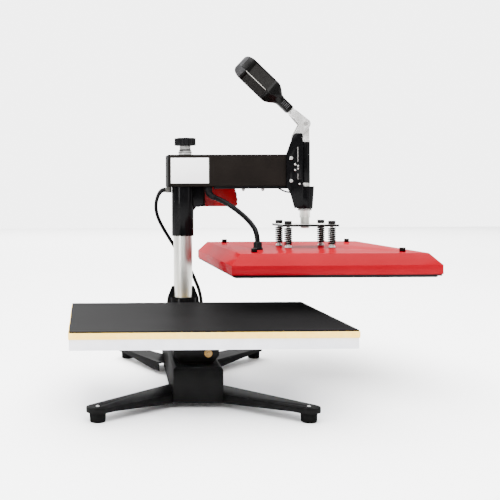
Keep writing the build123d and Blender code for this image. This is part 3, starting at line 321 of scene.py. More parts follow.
def sheen_painted_across(material, places, coats):
    """Painted sheen: coat that goes from one strength to another between two places from left to right, in metres,
    standing in for the reflection that fades where the platen shades the mat.
    """
    place = part_of(material, "ShaderNodeTexCoord")
    axes = part_of(material, "ShaderNodeSeparateXYZ")
    wire(material, place.outputs["Object"], axes.inputs["Vector"])
    wire(material, spanned(material, axes.outputs["X"], places, coats), shader_of(material).inputs["Coat Weight"])


def relief(material, source, strength, depth, under=None):
    """Fine relief of that depth in millimetres, over another relief if given."""
    bump = part_of(material, "ShaderNodeBump")
    bump.inputs["Strength"].default_value = strength
    bump.inputs["Distance"].default_value = depth / 1000
    wire(material, source, bump.inputs["Height"])
    if under:
        wire(material, under.outputs["Normal"], bump.inputs["Normal"])
    wire(material, bump.outputs["Normal"], shader_of(material).inputs["Normal"])
    return bump


def paint(name, dark, light, mottle, roughness, coat, coat_roughness):
    """A paint, rubber or plastic that gleams only through its coat; mottle is the pattern's scale and detail."""
    middle = tuple((a + b) / 2 for a, b in zip(dark, light))
    material = coating(name, middle, roughness, coat=coat, coat_roughness=coat_roughness)
    vary_colour(material, cloud(material, *mottle), dark, light)
    return material


gloss_black = paint("black gloss powder coat", (0.0018, 0.0018, 0.0021), (0.0026, 0.0026, 0.0029), (60,),
                    0.5, 0.10, 0.16)
relief(gloss_black, cloud(gloss_black, 480, 2), 0.25, 0.05)

frame_black = paint("black paint of the base", (0.0026,) * 3, (0.0038,) * 3, (40,), 0.6, 0.08, 0.3)
relief(frame_black, cloud(frame_black, 600, 3), 0.35, 0.06)

satin_black = paint("black satin paint", (0.0060, 0.0050, 0.0044), (0.0076, 0.0063, 0.0055), (25,),
                    0.6, 0.03, 0.45)
relief(satin_black, cloud(satin_black, 900, 3), 0.35, 0.06)

red_enamel = paint("red enamel", (0.18, 0.0007, 0.0055), (0.20, 0.0009, 0.0065), (9,), 0.5, 0.075, 0.14)
relief(red_enamel, cloud(red_enamel, 420, 2), 0.2, 0.04)

hood_red = paint("red enamel of the hood", (0.185, 0.0009, 0.0032), (0.215, 0.0011, 0.0038), (14,), 0.5, 0.1, 0.2)
relief(hood_red, cloud(hood_red, 700, 3), 0.4, 0.08)

chrome = coating("satin chrome", (0.47, 0.465, 0.435), 0.34, metallic=1.0, shine=0.5)
vary_roughness(chrome, cloud(chrome, 300, 5, (1, 1, 0.05)), 0.30, 0.38)
relief(chrome, cloud(chrome, 1500, 3, (1, 1, 0.02)), 0.12, 0.02)

bright_steel = coating("zinc plated steel", (0.40, 0.395, 0.385), 0.38, metallic=0.5, shine=0.1)
vary_colour(bright_steel, cloud(bright_steel, 45), (0.35, 0.345, 0.335), (0.45, 0.445, 0.435))
vary_roughness(bright_steel, cloud(bright_steel, 400, 5), 0.32, 0.46)
relief(bright_steel, cloud(bright_steel, 1200, 4), 0.2, 0.03)

dull_steel = coating("dull steel", (0.20, 0.195, 0.19), 0.42, metallic=0.3, shine=0.1)
vary_colour(dull_steel, cloud(dull_steel, 60), (0.17, 0.165, 0.16), (0.23, 0.225, 0.22))
relief(dull_steel, cloud(dull_steel, 1000, 4), 0.2, 0.03)

cast_grey = coating("painted cast aluminium", (0.70, 0.70, 0.74), 0.6, shine=0.05)
vary_colour(cast_grey, cloud(cast_grey, 30), (0.66, 0.66, 0.70), (0.74, 0.74, 0.78))
relief(cast_grey, cloud(cast_grey, 700, 4), 0.4, 0.08)

coated_plate = paint("dark non-stick coating", (0.0034, 0.0030, 0.0028), (0.0046, 0.0040, 0.0038), (120,),
                     0.5, 0.1, 0.3)
relief(coated_plate, cloud(coated_plate, 1500, 3), 0.3, 0.03)

bronze = coating("bearing bronze", (0.40, 0.26, 0.10), 0.3, metallic=1.0, shine=0.5)
vary_roughness(bronze, cloud(bronze, 300), 0.25, 0.4)

soft_rubber = paint("black rubber", (0.0026,) * 3, (0.0042,) * 3, (150,), 0.7, 0.04, 0.5)
relief(soft_rubber, cloud(soft_rubber, 1200, 4), 0.5, 0.08)

cable_skin = paint("black cable sheath", (0.0018, 0.0018, 0.0021), (0.0026, 0.0026, 0.0029), (200,),
                   0.6, 0.10, 0.22)
relief(cable_skin, cloud(cable_skin, 900, 3), 0.3, 0.04)

mat_face = paint("charcoal mat", (0.0042, 0.0041, 0.0042), (0.0062, 0.0060, 0.0062), (3.5, 5), 0.8, 0.05, 0.38)
# Painted sheen on the mat: strong at the left and fading to the right, where the platen above shades it and darkens
# its reflection.
sheen_painted_across(mat_face, (-0.37, 0.13), (0.065, 0.012))
weave = relief(mat_face, cloud(mat_face, 60, 3, (1, 8, 1)), 0.2, 0.15)
relief(mat_face, cells(mat_face, 900), 0.4, 0.15, weave)

foam_skin = paint("silicone foam", (0.96, 0.61, 0.11), (0.99, 0.67, 0.15), (120, 5), 0.8, 0.0, 0.08)
relief(foam_skin, cells(foam_skin, 1100), 0.5, 0.25)

fibre = coating("mineral fibre board", (0.60, 0.56, 0.45), 0.9, shine=0.1)
vary_colour(fibre, cloud(fibre, 300, 6, (1, 1, 6)), (0.52, 0.48, 0.38), (0.66, 0.62, 0.51))
relief(fibre, cloud(fibre, 600, 6), 0.7, 0.3)

grip_plastic = paint("moulded grip", (0.0085, 0.0080, 0.0077), (0.0105, 0.0100, 0.0095), (130,), 0.6, 0.06, 0.3)
relief(grip_plastic, cells(grip_plastic, 1600), 0.35, 0.05)

grip_edge_plastic = paint("smooth grip edges", (0.0018, 0.0017, 0.0016), (0.0026, 0.0025, 0.0024), (130,),
                          0.6, 0.15, 0.2)
relief(grip_edge_plastic, cloud(grip_edge_plastic, 900, 3), 0.3, 0.04)

grip_cap_plastic = paint("grey grip cap", (0.026, 0.026, 0.027), (0.034, 0.034, 0.035), (100,),
                         0.6, 0.12, 0.25)
relief(grip_cap_plastic, cells(grip_cap_plastic, 1600), 0.3, 0.04)

# Light grey plastic that paints the highlight along the grip's ridges.
ridge_highlight_plastic = coating("painted ridge highlight", (0.24, 0.235, 0.22), 0.5, shine=0.1)
vary_colour(ridge_highlight_plastic, cloud(ridge_highlight_plastic, 40), (0.18, 0.175, 0.165), (0.30, 0.29, 0.27))
relief(ridge_highlight_plastic, cloud(ridge_highlight_plastic, 900, 3), 0.3, 0.03)

gland_grey = coating("grey knurled nut", (0.055, 0.054, 0.05), 0.5, coat=0.1, coat_roughness=0.3, shine=0.05)
vary_colour(gland_grey, cloud(gland_grey, 80), (0.045, 0.044, 0.041), (0.065, 0.064, 0.059))
relief(gland_grey, cloud(gland_grey, 900, 3), 0.3, 0.03)

knob_plastic = paint("black moulding", (0.0038, 0.0038, 0.0041), (0.0052, 0.0052, 0.0055), (200,), 0.6, 0.1, 0.35)
relief(knob_plastic, cells(knob_plastic, 1400), 0.4, 0.05)

black_oxide = paint("blackened steel", (0.0030, 0.0027, 0.0027), (0.0040, 0.0037, 0.0037), (500,), 0.6, 0.2, 0.25)
relief(black_oxide, cloud(black_oxide, 1400, 3), 0.3, 0.03)

spring_wire = coating("spring wire", (0.0045, 0.0042, 0.0042), 0.4, coat=0.1, coat_roughness=0.25)
vary_roughness(spring_wire, cloud(spring_wire, 800), 0.2, 0.32)
relief(spring_wire, cloud(spring_wire, 1500, 3), 0.2, 0.02)

panel_skin = paint("panel film", (0.027, 0.027, 0.030), (0.033, 0.033, 0.036), (60,), 0.5, 0.15, 0.2)
relief(panel_skin, cells(panel_skin, 1500), 0.3, 0.04)

window_skin = paint("smoked window", (0.010, 0.0018, 0.0018), (0.014, 0.0022, 0.0022), (30,), 0.3, 0.5, 0.03)

label_film = coating("white label film", (0.93, 0.93, 0.93), 0.5, shine=0.05)
vary_colour(label_film, cloud(label_film, 20, 3), (0.91, 0.91, 0.91), (0.94, 0.94, 0.94))
relief(label_film, cloud(label_film, 30, 2), 0.3, 0.4)

brass = coating("earth screw brass", (0.20, 0.12, 0.035), 0.34, metallic=0.7, shine=0.5)
vary_roughness(brass, cloud(brass, 300), 0.28, 0.44)
relief(brass, cloud(brass, 900, 3), 0.2, 0.02)

COATINGS = {
    "black_gloss": gloss_black, "black_satin": satin_black, "red_paint": red_enamel, "chrome": chrome,
    "steel": bright_steel, "cast_aluminium": cast_grey, "nonstick_black": coated_plate,
    "bearing_bronze": bronze, "rubber_black": soft_rubber, "silicone_foam": foam_skin, "insulation": fibre,
    "black_plastic": knob_plastic, "panel_grey": panel_skin, "dark_window": window_skin,
    "label_white": label_film,
}
for entry in frame["record"]["subparts"]:
    shown = frame["nodes"][entry["node"]].data
    shown.materials.clear()
    shown.materials.append(COATINGS[entry["material_slot"]])


# Camera, as the photograph was taken

bpy.ops.object.select_all(action="DESELECT")
bpy.ops.object.camera_add(location=(-0.33784, -1.82427, 0.38712), rotation=(math.pi / 2, 0.004, -0.020))
camera = bpy.context.object
camera.data.lens = 61.66
camera.data.sensor_width = 36.0
camera.data.shift_x = 0.2927
camera.data.shift_y = -0.1046
camera.data.clip_end = 50
bpy.context.scene.camera = camera


# Mains cord, coil and plug

CORD_D, CORD_START = 8.0, (-40, 0, 404.5)
CORD_ROUTE = [
    CORD_START, (-47, 0, 404.5), (-55, 2, 394), (-60, 5.5, 378), (-60.5, 9.5, 361), (-56, 14.5, 343),
    (-46.5, 21, 323.5), (-34, 28, 303), (-20, 35, 281), (-4, 39, 258), (13, 43, 234), (26, 46, 212),
    (36, 50, 190), (44, 54, 170), (49, 58, 148), (51, 63, 121), (50, 71, 89), (47, 84, 56), (42, 105, 28),
    (37, 131, 11), (32, 160, 5), (26, 190, 4.3), (18, 222, 4.3), (13, 254, 4.3), (11.8, 285, 4.3),
]
COIL_X, COIL_Y, COIL_R = 70, 285, 50.5
COIL_INNER_R, LOW_Z, HIGH_Z = 41.9, 4.3, 12.6
PLUG_PLACE = (140, 344, 10.3)
PLUG_L, PLUG_HALF_W = 38, 17
TAIL_ROUTE = [(84, 335.5, 12.2), (102, 338, 9.2), (120, 342, 6.2), PLUG_PLACE]


def coil_turns():
    """The spare cord: wound inwards on the floor, then outwards on top of itself."""
    points = []
    steps = 14
    for i in range(2, round(3.25 * steps)):
        turn = i / steps
        inward = min(max((turn - 0.85) / 0.15, 0), 1) - min(max((turn - 2.5) / 0.2, 0), 1)
        rise = min(max((turn - 1.7) / 0.15, 0), 1)
        radius = COIL_R + (COIL_INNER_R - COIL_R) * inward
        angle = math.pi - 2 * math.pi * turn
        z = LOW_Z + (HIGH_Z - LOW_Z) * rise
        points.append((COIL_X + radius * math.cos(angle), COIL_Y + radius * math.sin(angle), z))
    return points


def smooth_line(name, route, width, sides=6, steps=6):
    """A smooth round line on a route, as one open spline."""
    line = bpy.data.curves.new(name, "CURVE")
    line.dimensions = "3D"
    line.bevel_depth = width / 2000
    line.bevel_resolution = sides
    line.use_fill_caps = True
    spline = line.splines.new("NURBS")
    spline.points.add(len(route) - 1)
    for point, place in zip(spline.points, route):
        point.co = (*spot(*place), 1)
    spline.order_u = 3
    spline.use_endpoint_u = True
    spline.resolution_u = steps
    spline.use_smooth = True
    piece = bpy.data.objects.new(name, line)
    bpy.context.scene.collection.objects.link(piece)
    return piece


ALONG_X, TO_NEAR, TO_FAR = (0, math.pi / 2, 0), (math.pi / 2, 0, 0), (-math.pi / 2, 0, 0)


def centre_of(route):
    """The smooth centre line that a route gives, in metres."""
    line = smooth_line("centre_line", route, 0.0)
    path = [vertex.co.copy() for vertex in bpy.data.meshes.new_from_object(line).vertices]
    bpy.data.objects.remove(line)
    return path


def made_solid(line):
    """A line turned into a closed mesh."""
    pick(line)
    bpy.ops.object.convert(target="MESH")
    solid = bpy.context.object
    start_editing(solid)
    bpy.ops.mesh.remove_doubles(threshold=0.00001)
    faces_outwards()
    return solid


def ring_stack(x, y, z, rows, sides=32, lean=(0, 0, 0)):
    """A turned form from a list of heights and widths, grown ring by ring from its foot."""
    bpy.ops.object.select_all(action="DESELECT")
    bpy.ops.mesh.primitive_circle_add(vertices=sides, radius=rows[0][1] / 2000, fill_type="NGON",
                                      location=(0, 0, rows[0][0] / 1000))
    form = settle(bpy.context.object)
    start_editing(form)
    for (z0, w0), (z1, w1) in zip(rows, rows[1:]):
        bpy.ops.mesh.extrude_region_move(TRANSFORM_OT_translate={"value": (0, 0, (z1 - z0) / 1000)})
        share = w1 / w0
        bpy.ops.transform.resize(value=(share, share, 1), center_override=(0, 0, z1 / 1000))
    bpy.ops.mesh.select_all(action="SELECT")
    faces_outwards()
    form.rotation_euler = lean
    form.location = spot(x, y, z)
    settle(form)
    bpy.ops.object.shade_smooth_by_angle(angle=math.radians(35))
    return form


def plug():
    """Two-pin plug body with a waist to grip and a ribbed strain relief."""
    x, y, z = PLUG_PLACE
    body = subdivided(block(x, x + PLUG_L, y - PLUG_HALF_W, y + PLUG_HALF_W, z - 10, z + 10), 6)
    for vertex in body.data.vertices:
        along = (vertex.co.x * 1000 - POST_X - x) / PLUG_L
        across = vertex.co.y * 1000 - POST_Y - y
        waist = 1 - 0.42 * (1 - along) ** 2
        vertex.co.y = (y + across * waist + POST_Y) / 1000
    chamfered(body, 3.0, 4, 50)
    ribs = []
    for i in range(4):
        rows = [(0, 8.8), (0.6, 11 + i), (3.2, 11.4 + i), (4, 9)]
        ribs.append(ring_stack(x - 22 + 5.5 * i, y, z, rows, 24, ALONG_X))
    ribs.append(ring_stack(x - 24, y, z, [(0, 8.6), (24, 9.6)], 24, ALONG_X))
    return joined("plug_body", [body] + ribs)


def plug_pins():
    """The plug's two round pins."""
    x, y, z = PLUG_PLACE
    rows = [(-1, 4.8), (17.5, 4.8), (19, 3.2)]
    return joined("plug_pins", [ring_stack(x + PLUG_L, y + side, z, rows, 20, ALONG_X) for side in (-9.5, 9.5)])


plug_piece = finish_piece(plug(), "base", knob_plastic, "black_plastic", "mains_plug")
pins_piece = finish_piece(plug_pins(), "base", bright_steel, "steel")
cord_piece = smooth_line("mains_lead", CORD_ROUTE + coil_turns() + TAIL_ROUTE, CORD_D)
cord_piece.data.materials.append(cable_skin)
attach(cord_piece, "base")
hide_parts("mains_cord", "cord_coil")


# Heater conduit, from the arm down to the platen

CONDUIT_TOP = (57, -12, 403)
CONDUIT_HIGH = (150, -104, 308.6)
CONDUIT_END = (150, -104, 282.6)
CONDUIT_D = 11.0


def conduit_route():
    """Straight out of the arm, over in one bend, and straight down into the platen's gland."""
    route = [CONDUIT_TOP, (CONDUIT_TOP[0], CONDUIT_TOP[1], 392)]
    for across, down in ((0.29, 0.24), (0.62, 0.47), (0.88, 0.74)):
        route.append(tuple(CONDUIT_TOP[i] + share * (CONDUIT_HIGH[i] - CONDUIT_TOP[i])
                           for i, share in enumerate((across, down, down))))
    return route + [CONDUIT_HIGH, CONDUIT_END]


hose_path = centre_of(conduit_route())
hose = made_solid(smooth_line("heater_hose", conduit_route(), CONDUIT_D, 7, 24))
bpy.ops.object.shade_smooth()
hose.data.materials.append(cable_skin)
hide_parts("heater_conduit")
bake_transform(hose)


def tapered_line(name, route, widths):
    """A flexible sleeve on a route, its width changing from point to point."""
    line = smooth_line(name, route, 1.0, 7, 12)
    for point, width in zip(line.data.splines[0].points, widths):
        point.radius = width
    sleeve = made_solid(line)
    bpy.ops.object.shade_smooth_by_angle(angle=math.radians(40))
    return sleeve


def between(places, share):
    """The place at a share of the way along a run of metre points, in machine millimetres."""
    at = share * (len(places) - 1)
    low = min(int(at), len(places) - 2)
    place = places[low].lerp(places[low + 1], at - low)
    return (place.x * 1000 - POST_X, place.y * 1000 - POST_Y, place.z * 1000)


def relief_on(name, path, reach, wide, narrow, rings):
    """Ringed strain relief over the first part of a line."""
    upto = [path[0]]
    length = 0.0
    for before, after in zip(path, path[1:]):
        length += (after - before).length
        if length > reach / 1000:
            break
        upto.append(after)
    steps = rings * 4
    route = [between(upto, i / steps) for i in range(steps + 1)]
    widths = []
    for i in range(steps + 1):
        body = wide + (narrow - wide) * i / steps
        groove = 0.9 if i % 4 in (2, 3) and 1 < i < steps - 1 else 0.0
        widths.append(body - groove)
    return tapered_line(name, route, widths)


conduit_sleeve = relief_on("conduit_relief", hose_path, 26, 16.5, 12.4, 5)
finish_piece(conduit_sleeve, "arm", knob_plastic, "black_plastic")
lead_sleeve = relief_on("lead_relief", centre_of(CORD_ROUTE), 30, 11.2, 8.6, 6)
finish_piece(lead_sleeve, "base", knob_plastic, "black_plastic")


# Lever grip

def lever_place(piece):
    """Lays a piece made along +Z from the pivot onto the lever."""
    piece.rotation_euler = (0, math.radians(90 - LEVER_ANGLE), 0)
    piece.location = spot(REACH, 0, PIVOT_Z)
    return settle(piece)


def shape_ring(form, z, wide, deep, flats):
    """Sizes the ring that is selected at a height, then the points of its flats alone."""
    bpy.ops.transform.resize(value=(wide, deep, 1), center_override=(0, 0, z / 1000))
    done_editing()
    for part in (form.data.vertices, form.data.edges, form.data.polygons):
        part.foreach_set("select", [False] * len(part))
    for vertex in form.data.vertices:
        x, y = abs(vertex.co.x), abs(vertex.co.y)
        vertex.select = abs(vertex.co.z - z / 1000) < 0.0001 and min(x, y) > 0.2 * max(x, y)
    bpy.ops.object.mode_set(mode="EDIT")
    bpy.ops.mesh.select_mode(type="VERT")
    bpy.ops.transform.resize(value=(flats, flats, 1), center_override=(0, 0, z / 1000))


# The body is skewed to one side by this much for each millimetre out from its middle
RIDGE_SHIFT = 0.46
# Height along the lever, ridge to ridge, depth share, and how far the flats stand out against the ridges
GRIP_ROWS = [
    (46, 18.5, 1.0, 1.38), (50, 19.5, 1.0, 1.38), (76, 19.5, 1.0, 1.38), (84, 29, 0.93, 1.0), (93, 44, 0.8, 0.80),
    (101, 54, 0.75, 0.735), (107, 57, 0.74, 0.72), (113, 57.5, 0.74, 0.72), (178, 57.5, 0.74, 0.72),
    (184, 57, 0.74, 0.74), (190, 55, 0.74, 0.78), (196, 51, 0.74, 0.84), (201, 44, 0.74, 0.9), (204, 34, 0.74, 0.95),
]


def grip():
    """Grip with a square neck that opens into a four-sided body with sunk panels and an end cap."""
    z, wide, share, flats = GRIP_ROWS[0]
    bpy.ops.object.select_all(action="DESELECT")
    bpy.ops.mesh.primitive_circle_add(vertices=8, radius=0.5, fill_type="NGON", location=(0, 0, z / 1000))
    form = settle(bpy.context.object)
    start_editing(form)
    shape_ring(form, z, wide / 1000, wide * share / 1000, flats)
    for before, after in zip(GRIP_ROWS, GRIP_ROWS[1:]):
        bpy.ops.mesh.select_mode(type="FACE")
        bpy.ops.mesh.select_all(action="DESELECT")
        done_editing()
        for face in form.data.polygons:
            face.select = all(abs(form.data.vertices[v].co.z - before[0] / 1000) < 0.0001 for v in face.vertices)
        bpy.ops.object.mode_set(mode="EDIT")
        bpy.ops.mesh.extrude_region_move(TRANSFORM_OT_translate={"value": (0, 0, (after[0] - before[0]) / 1000)})
        wide = after[1] / before[1]
        shape_ring(form, after[0], wide, wide * after[2] / before[2], after[3] / before[3])
    bpy.ops.mesh.select_mode(type="FACE")
    bpy.ops.mesh.select_all(action="SELECT")
    faces_outwards()
    for sign_x in (-1, 1):
        for sign_y in (-1, 1):
            for face in form.data.polygons:
                middle = face.center
                side = middle.x * sign_x > 0 and middle.y * sign_y > 0
                face.select = side and 0.113 < middle.z < 0.178 and abs(face.normal.z) < 0.3
            bpy.ops.object.mode_set(mode="EDIT")
            bpy.ops.mesh.inset(thickness=0.0034, depth=-0.0020)
            done_editing()
            for face in form.data.polygons:
                if face.select:
                    face.material_index = 1
    for face in form.data.polygons:
        middle = face.center
        if middle.z > 0.184 and not (middle.x * middle.y < 0 and middle.z < 0.197):
            face.material_index = 2
    for vertex in form.data.vertices:
        into = min(max((vertex.co.z - 0.084) / 0.023, 0), 1)
        vertex.co.x += RIDGE_SHIFT * into * vertex.co.y
    chamfered(form, 1.3, 3, 24)
    return lever_place(joined("hand_grip", [form]))


def grip_ridge_highlight():
    """Painted highlight along both long ridges of the grip: thin strips of light grey plastic where the ridge edges
    gleam.
    """
    places = [(side * 0.0212 * RIDGE_SHIFT, side * 0.0209, 0.150) for side in (-1, 1)]
    lines = [chamfered(box_at(place, (0.0016, 0.0012, 0.062)), 0.4, 2) for place in places]
    return lever_place(joined("grip_ridge_highlight", lines))


def grip_ribs():
    """Small cross ribs on both flats of the grip's neck."""
    places = [(0, side * 0.0100, z / 1000) for side in (-1, 1) for z in (55, 59, 63, 67, 71)]
    ribs = [chamfered(box_at(place, (0.0115, 0.0016, 0.0018)), 0.5, 2) for place in places]
    return lever_place(joined("grip_ribs", ribs))


finish_piece(grip(), "lever", grip_edge_plastic, "black_plastic", "lever_grip",
             others=(grip_plastic, grip_cap_plastic))
# Painted highlight strips along the grip's ridges.
finish_piece(grip_ridge_highlight(), "lever", ridge_highlight_plastic, "black_plastic")
finish_piece(grip_ribs(), "lever", grip_cap_plastic, "black_plastic")


# Springs, bolts and screws

def springs():
    """Four coil springs with flattened, closed ends."""
    bpy.ops.object.select_all(action="DESELECT")
    bpy.ops.mesh.primitive_circle_add(vertices=12, radius=SPRING_WIRE_R / 1000, location=(SPRING_MEAN_R / 1000, 0, 0),
                                      rotation=(math.pi / 2, 0, 0))
    coil = settle(bpy.context.object)
    turns = coil.modifiers.new("turns", "SCREW")
    turns.angle = math.tau
    turns.screw_offset = SPRING_PITCH / 1000
    turns.iterations = SPRING_TURNS
    turns.steps = 24
    turns.render_steps = 24
    turns.use_merge_vertices = False
    bpy.ops.object.modifier_apply(modifier=turns.name)
    for vertex in coil.data.vertices:
        vertex.co.z = min(max(vertex.co.z, 0.0001), 0.0396)
    start_editing(coil)
    bpy.ops.mesh.fill_holes(sides=0)
    faces_outwards()
    bpy.ops.object.shade_smooth()
    coil.location = spot(*SPRING_BOLTS[0], SPRING_FOOT_Z)
    return repeated("springs", settle(coil), SPRING_BOLTS)


def socket_head(x, y, z, width, height, key, lean=(0, 0, 0), dome=0.0):
    """A cap screw head with a hexagon socket, standing on a place."""
    top = height - dome
    rows = [(0, width - 0.6), (0.5, width), (top - 0.6, width), (top, width - 1.2)]
    if dome:
        rows += [(top + dome * 0.7, width * 0.72), (height, width * 0.5)]
    head = ring_stack(0, 0, 0, rows, 36)
    head.location = (-spot(0, 0, 0)[0], -spot(0, 0, 0)[1], 0)
    settle(head)
    bpy.ops.object.select_all(action="DESELECT")
    bpy.ops.mesh.primitive_cylinder_add(vertices=6, radius=key / 2000, depth=height * 1.2 / 1000,
                                        location=(0, 0, height * 1.15 / 1000))
    cut_by(head, settle(bpy.context.object))
    head.rotation_euler = lean
    head.location = spot(x, y, z)
    return settle(head)


spring_piece = finish_piece(springs(), "platen", spring_wire, "steel", "pressure_springs")
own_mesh(spring_piece)
SHANK_ROWS = [(258, 8), (326, 8)]
CUP_ROWS = [(0, 14), (0.6, 15), (2.4, 15), (3.0, 13.4), (5.6, 12.6), (6.0, 11)]
shanks = repeated("spring_bolt_shanks", ring_stack(*SPRING_BOLTS[0], 0, SHANK_ROWS, 28), SPRING_BOLTS)
cups = repeated("spring_cups", ring_stack(*SPRING_BOLTS[0], COVER_TOP_Z, CUP_ROWS, 32), SPRING_BOLTS)
bolt_heads = repeated("spring_bolt_heads", socket_head(*SPRING_BOLTS[0], SPRING_PLATE_TOP_Z + 0.3, 16.4, 7.4, 6.4),
                      SPRING_BOLTS)
screw_heads = repeated("cover_screw_heads", socket_head(*COVER_SCREWS[0], COVER_TOP_Z, 12.6, 8.4, 5.8), COVER_SCREWS)
finish_piece(bolt_heads, "platen", black_oxide, "black_satin", "spring_bolts")
finish_piece(shanks, "platen", bright_steel, "steel")
finish_piece(cups, "platen", bright_steel, "steel")
finish_piece(screw_heads, "platen", black_oxide, "black_satin", "cover_screws")


def cheek_hardware():
    """Domed bolts and small screws of the cheeks."""
    pieces = []
    for side, lean in ((-1, TO_NEAR), (1, TO_FAR)):
        for z in (423, 474):
            pieces.append(socket_head(REACH - 39.5, side * CHEEK_Y, z, 7.8, 4, 3.8, lean, 1.6))
        for z in (447, 460):
            pieces.append(socket_head(REACH - 30.5, side * CHEEK_Y, z, 4.8, 2.2, 2.2, lean, 0.8))
    small, wide = [(0, 3.6), (0.9, 3.6), (1.3, 2.6)], [(0, 4.2), (1.2, 4.2), (1.7, 3.0)]
    for x, z, rows in ((-23.6, 450.5, small), (-23.6, 456.8, small), (-20.6, 416.0, wide), (-11.0, 416.4, wide)):
        pieces.append(ring_stack(REACH + x, -CHEEK_Y, z, rows, 18, TO_NEAR))
    return joined("cheek_hardware", pieces)


def cheek_strips():
    """Two wear strips let into the near cheek."""
    strips = [block(REACH - 24.9, REACH - 23.3, -CHEEK_Y - 0.5, -CHEEK_Y + 0.4, z0, z1)
              for z0, z1 in ((466.0, 499.0), (426.0, 439.5))]
    return joined("cheek_strips", [chamfered(strip, 0.3, 2) for strip in strips])


finish_piece(cheek_strips(), "arm", dull_steel, "steel")
finish_piece(cheek_hardware(), "arm", bright_steel, "chrome", "cheek_bolts")


# CAD nodes with broken edges

for node, body, material, slot, width in (
    ("arm_tube", "arm", satin_black, "black_satin", 0.8),
    ("arm_end_cap", "arm", knob_plastic, "black_plastic", 0.6),
    ("cheek_near", "arm", gloss_black, "black_gloss", 1.0),
    ("cheek_far", "arm", gloss_black, "black_gloss", 1.0),
    ("guide_housing", "arm", gloss_black, "black_gloss", 1.4),
    ("guide_bush", "arm", dull_steel, "chrome", 0.5),
    ("post_sleeve", "arm", gloss_black, "black_gloss", 0.8),
    ("knob_collar", "arm", bright_steel, "steel", 0.6),
    ("control_back", "arm", satin_black, "black_satin", 0.7),
    ("control_hood", "arm", hood_red, "red_paint", 0.8),
    ("control_panel", "arm", panel_skin, "panel_grey", 0.4),
    ("post_socket", "base", gloss_black, "black_gloss", 0.9),
    ("base_spine", "base", frame_black, "black_gloss", 1.5),
    ("bed_pedestal", "base", frame_black, "black_gloss", 1.5),
    ("bed_plate", "base", cast_grey, "cast_aluminium", 0.6),
    ("ram_rod", "ram", chrome, "chrome", 0.6),
    ("ram_sleeve", "ram", gloss_black, "black_gloss", 0.6),
    ("ram_clevis", "ram", bright_steel, "steel", 0.7),
    ("lever_bar", "lever", bright_steel, "steel", 0.8),
    ("lever_fork", "lever", bright_steel, "steel", 0.6),
    ("lever_pin", "lever", dull_steel, "chrome", 0.5),
    ("toggle_links", "links", bright_steel, "steel", 0.6),
    ("platen_cover", "platen", red_enamel, "red_paint", 1.2),
    ("heat_plate", "platen", coated_plate, "nonstick_black", 0.4),
    ("platen_gland", "platen", knob_plastic, "black_plastic", 0.5),
    ("clamp_knob", "knob", knob_plastic, "black_plastic", 1.0),
    ("conduit_gland", "arm", knob_plastic, "black_plastic", 0.6),
    ("supply_gland", "arm", gland_grey, "black_plastic", 0.9),
    ("link_pin", "arm", black_oxide, "steel", 0.4),
    ("power_rocker", "rocker", knob_plastic, "black_plastic", 0.4),
    ("button_set", "set_key", knob_plastic, "black_plastic", 0.5),
    ("button_down", "down_key", knob_plastic, "black_plastic", 0.5),
    ("button_up", "up_key", knob_plastic, "black_plastic", 0.5),
):
    finish_piece(from_cad(node, width), body, material, slot)


def plate_with_painted_shade():
    """Spring plate with a bright upper face; its edges, holes and underside take blackened steel as painted shade,
    standing in for the dark platen and shadow they reflect.
    """
    plate = from_cad("spring_plate", 0.5)
    plate.data.materials.append(bright_steel)
    plate.data.materials.append(black_oxide)
    # Painted shade: every face that does not face upwards takes the blackened steel.
    for face in plate.data.polygons:
        face.material_index = 0 if face.normal.z > 0.6 else 1
    return plate


# Spring plate with painted shade on its edges, holes and underside.
finish_piece(plate_with_painted_shade(), "ram", bright_steel, "steel", others=(black_oxide,))
for corner in ("front_left", "front_right", "rear_left", "rear_right"):
    finish_piece(from_cad("leg_" + corner, 0.9), "base", frame_black, "black_gloss")
    finish_piece(from_cad("foot_" + corner, 1.0), "base", soft_rubber, "rubber_black")


# Bed pad and mat

def slack_edge(piece, depth, scale):
    """Lets a soft piece's edge wander a little."""
    for vertex in piece.data.vertices:
        place = vertex.co * scale
        vertex.co += Vector((noise.noise(place), noise.noise(place + Vector((7, 3, 1))), 0)) * depth / 1000


def bed_slab(out, z0, z1):
    """A slab over the whole bed, standing out a little if asked."""
    return block(-BED_W / 2 - out, BED_W / 2 + out, BED_Y - BED_D / 2 - out, BED_Y + BED_D / 2 + out, z0, z1)


def pad():
    """Silicone foam pad, a little proud of the plate, with softened edges."""
    piece = subdivided(bed_slab(FOAM_OUT, BED_TOP_Z - MAT_T - FOAM_T, BED_TOP_Z - MAT_T), 40)
    slack_edge(piece, 0.5, 30)
    return joined("foam_pad", [chamfered(piece, 1.0, 3, 50)])


def mat():
    """Rubber mat on the pad, with thin rounded edges."""
    piece = subdivided(bed_slab(0, BED_TOP_Z - MAT_T, BED_TOP_Z), 30)
    slack_edge(piece, 0.5, 18)
    return joined("rubber_mat", [chamfered(piece, 0.7, 3, 50)])


pad_piece = finish_piece(pad(), "base", foam_skin, "silicone_foam", "bed_foam")
finish_piece(mat(), "base", mat_face, "rubber_black", "bed_mat")


# Small parts

def knob_ferrule():
    """Steel ferrule and flared foot under the clamp knob."""
    rows = [(488.4, 31), (489.6, 31.6), (491, 30), (493, 26), (495.2, 24), (496, 25), (503.5, 25), (504.8, 23)]
    return joined("knob_ferrule", [ring_stack(KNOB_X, 0, 0, rows, 40)])


def knob_ring():
    """Black ring round the ferrule."""
    rows = [(493.0, 26), (493.4, 27.6), (495.2, 27.6), (495.6, 25.6)]
    return joined("knob_ring", [ring_stack(KNOB_X, 0, 0, rows, 40)])


finish_piece(knob_ferrule(), "knob", dull_steel, "steel", "knob_stud")
finish_piece(knob_ring(), "knob", knob_plastic, "black_plastic")


